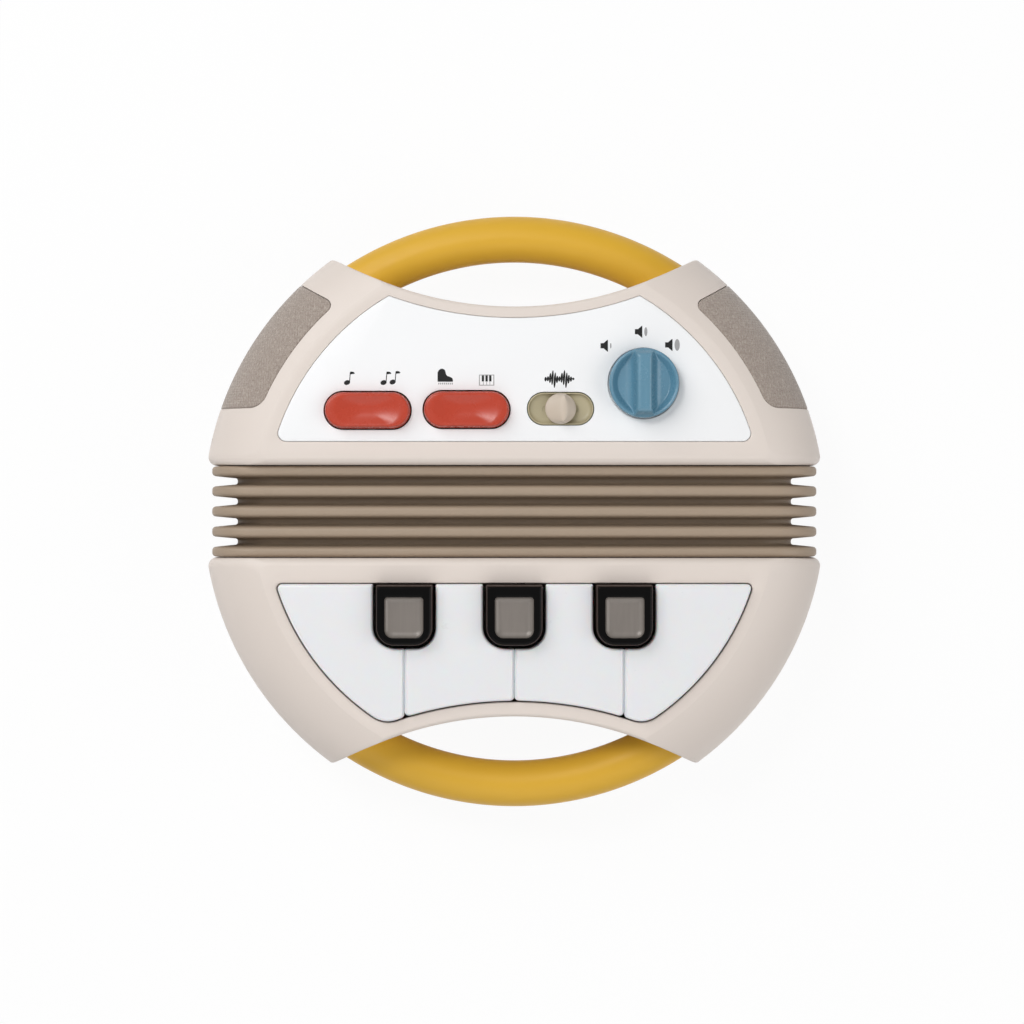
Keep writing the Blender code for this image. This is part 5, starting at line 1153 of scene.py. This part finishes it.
def inked(name, outlines, look):
    """Thin printed shapes on the panel, from closed outlines in millimetres."""
    bm = bmesh.new()
    for outline in outlines:
        points = [(x * MM, y * MM) for x, y in outline]
        flats = [level(points, PANEL_Z + z) for z in (-INK_SUNK, INK_RAISED)]
        rows = [[bm.verts.new(point) for point in flat] for flat in flats]
        faces = [bm.faces.new(rows[1])]
        for i in range(len(points)):
            j = (i + 1) % len(points)
            faces.append(bm.faces.new((rows[0][i], rows[0][j], rows[1][j], rows[1][i])))
        if sum(a[0] * b[1] - b[0] * a[1] for a, b in zip(points, points[1:] + points[:1])) < 0:
            bmesh.ops.reverse_faces(bm, faces=faces)
    dress(from_bmesh(name, bm, look), "upper_half", "dark_plastic")


def moved(points, x, y):
    """Points moved by (x, y)."""
    return [(x + u, y + v) for u, v in points]


def oval(x, y, across, up, tilt=0.0, sides=20):
    """An ellipse, tilted by some degrees."""
    cosine, sine = math.cos(math.radians(tilt)), math.sin(math.radians(tilt))
    points = [(u * across / 2, v * up / 2) for u, v in circle(1.0, sides=sides)]
    return [(x + u * cosine - v * sine, y + u * sine + v * cosine) for u, v in points]


def note(x, y):
    """A quaver: head, stem and flag, its head's middle at (x, y)."""
    return [oval(x, y, *NOTE_HEAD), moved(NOTE_STEM, x, y), moved(NOTE_FLAG, x, y)]


def bars(spans, place):
    """Rectangles from their low and high corners round a place."""
    return [moved(rectangle(low, high), *place) for low, high in spans]


def add_symbols(looks):
    """Plain printed symbols beside the controls: notes, a piano, keys, a sound wave, loudspeakers."""
    ink, pale = looks["ink"], looks["pale_ink"]
    inked("symbol_note", note(-60.9, 46.9), ink)
    inked("symbol_two_notes", note(-47.6, 46.9) + note(-44.3, 47.1), ink)
    inked("symbol_piano", [moved(PIANO, *PIANO_PLACE)], ink)
    keys = [((0.7 * i - 2.5, -1.0), (0.7 * i - 2.1, -0.35)) for i in range(8)]
    inked("symbol_piano_keys", bars(keys, PIANO_PLACE), pale)
    ticks = [((x - 0.1, -1.7), (x + 0.1, -0.6)) for x in (-1.2, 0.0, 1.2)]
    inked("symbol_keys_frame", bars(KEYS_FRAME + ticks, KEYS_PLACE), pale)
    keys = [((x - 0.42, -0.5), (x + 0.42, 1.7)) for x in (-1.35, 0.0, 1.35)]
    inked("symbol_keys", bars(keys, KEYS_PLACE), ink)
    wave = []
    for i, (rise, drop) in enumerate(zip(WAVE_RISES, WAVE_DROPS)):
        x = WAVE_PLACE[0] + (i - (len(WAVE_RISES) - 1) / 2) * WAVE_PITCH
        wave.append(oval(x, WAVE_PLACE[1] + (rise - drop) / 2, WAVE_PITCH, rise + drop, WAVE_TILT, 14))
    inked("symbol_wave", wave, ink)
    inked("symbol_loudness", [moved(HORN, x, y) for x, y, _, _ in HORNS], ink)
    inked("symbol_waves", [oval(x + 2.0 + wide / 2, y, wide, tall) for x, y, wide, tall in HORNS], pale)


def looked_at(tree):
    """One where the camera, a reflection or glass looks straight at something, and zero for its light."""
    rays = node(tree, "ShaderNodeLightPath").outputs
    seen = maths(tree, "MAXIMUM", rays["Is Camera Ray"], rays["Is Glossy Ray"])
    return maths(tree, "MAXIMUM", seen, rays["Is Transmission Ray"])


def mix_surface(tree, factor, plain, seen, output):
    """Send a mix of two shaders to the tree's output node."""
    mix = node(tree, "ShaderNodeMixShader", Fac=factor)
    feed(mix.inputs[1], plain)
    feed(mix.inputs[2], seen)
    fed(tree.nodes[output], Surface=mix.outputs["Shader"])


def floor_material():
    """Mostly a white glow where it is looked at, and plain pale paint for the light."""
    material, tree, shader = finish_of("floor", 0.9, Base_Color=FLOOR_COLOR, Specular_IOR_Level=0.1)
    glow = node(tree, "ShaderNodeEmission", Color=WHITE, Strength=1.0)
    factor = maths(tree, "MULTIPLY", looked_at(tree), FLOOR_GLOW_SHARE)
    mix_surface(tree, factor, shader.outputs["BSDF"], glow.outputs["Emission"], "Material Output")
    return material


def add_floor():
    """A wide pale floor under the toy."""
    bm = bmesh.new()
    corners = rectangle((-FLOOR_SIZE, -FLOOR_SIZE), (FLOOR_SIZE, FLOOR_SIZE))
    bm.faces.new([bm.verts.new(corner) for corner in level(corners, 0.0)])
    floor = from_bmesh("floor", bm, floor_material())


def add_light(name, place, size, power):
    """A soft area light that looks at the toy."""
    lamp = bpy.data.lights.new(name, "AREA")
    lamp.shape = "DISK"
    lamp.size = size
    lamp.energy = power
    obj = new_object(name, lamp)
    obj.location = place
    obj.rotation_euler = (Vector(LIGHT_TARGET) - Vector(place)).to_track_quat("-Z", "Y").to_euler()


def add_studio():
    """World, lamps and camera."""
    scene = bpy.context.scene
    world = bpy.data.worlds.new("studio")
    world.use_nodes = True
    tree = world.node_tree
    dim = fed(tree.nodes["Background"], Color=WHITE, Strength=WORLD_LIGHT).outputs[0]
    bright = node(tree, "ShaderNodeBackground", Color=WHITE, Strength=1.0).outputs[0]
    mix_surface(tree, looked_at(tree), dim, bright, "World Output")
    scene.world = world
    for light in LIGHTS:
        add_light(*light)
    camera = bpy.data.cameras.new("camera")
    camera.lens = CAMERA_FOCAL
    camera.sensor_width = CAMERA_SENSOR
    scene.camera = new_object("camera", camera)
    scene.camera.location = CAMERA_PLACE
    scene.view_settings.view_transform = "Standard"


def build():
    """Every look, the stage and the studio."""
    looks = make_looks()
    for step in (dress_nodes, add_shells, add_door, add_handles, add_bellows, add_panel, add_cloths,
                 add_white_keys, add_black_keys, add_rockers, add_slider, add_knob, add_symbols):
        step(looks)
    add_floor()
    add_studio()


build()
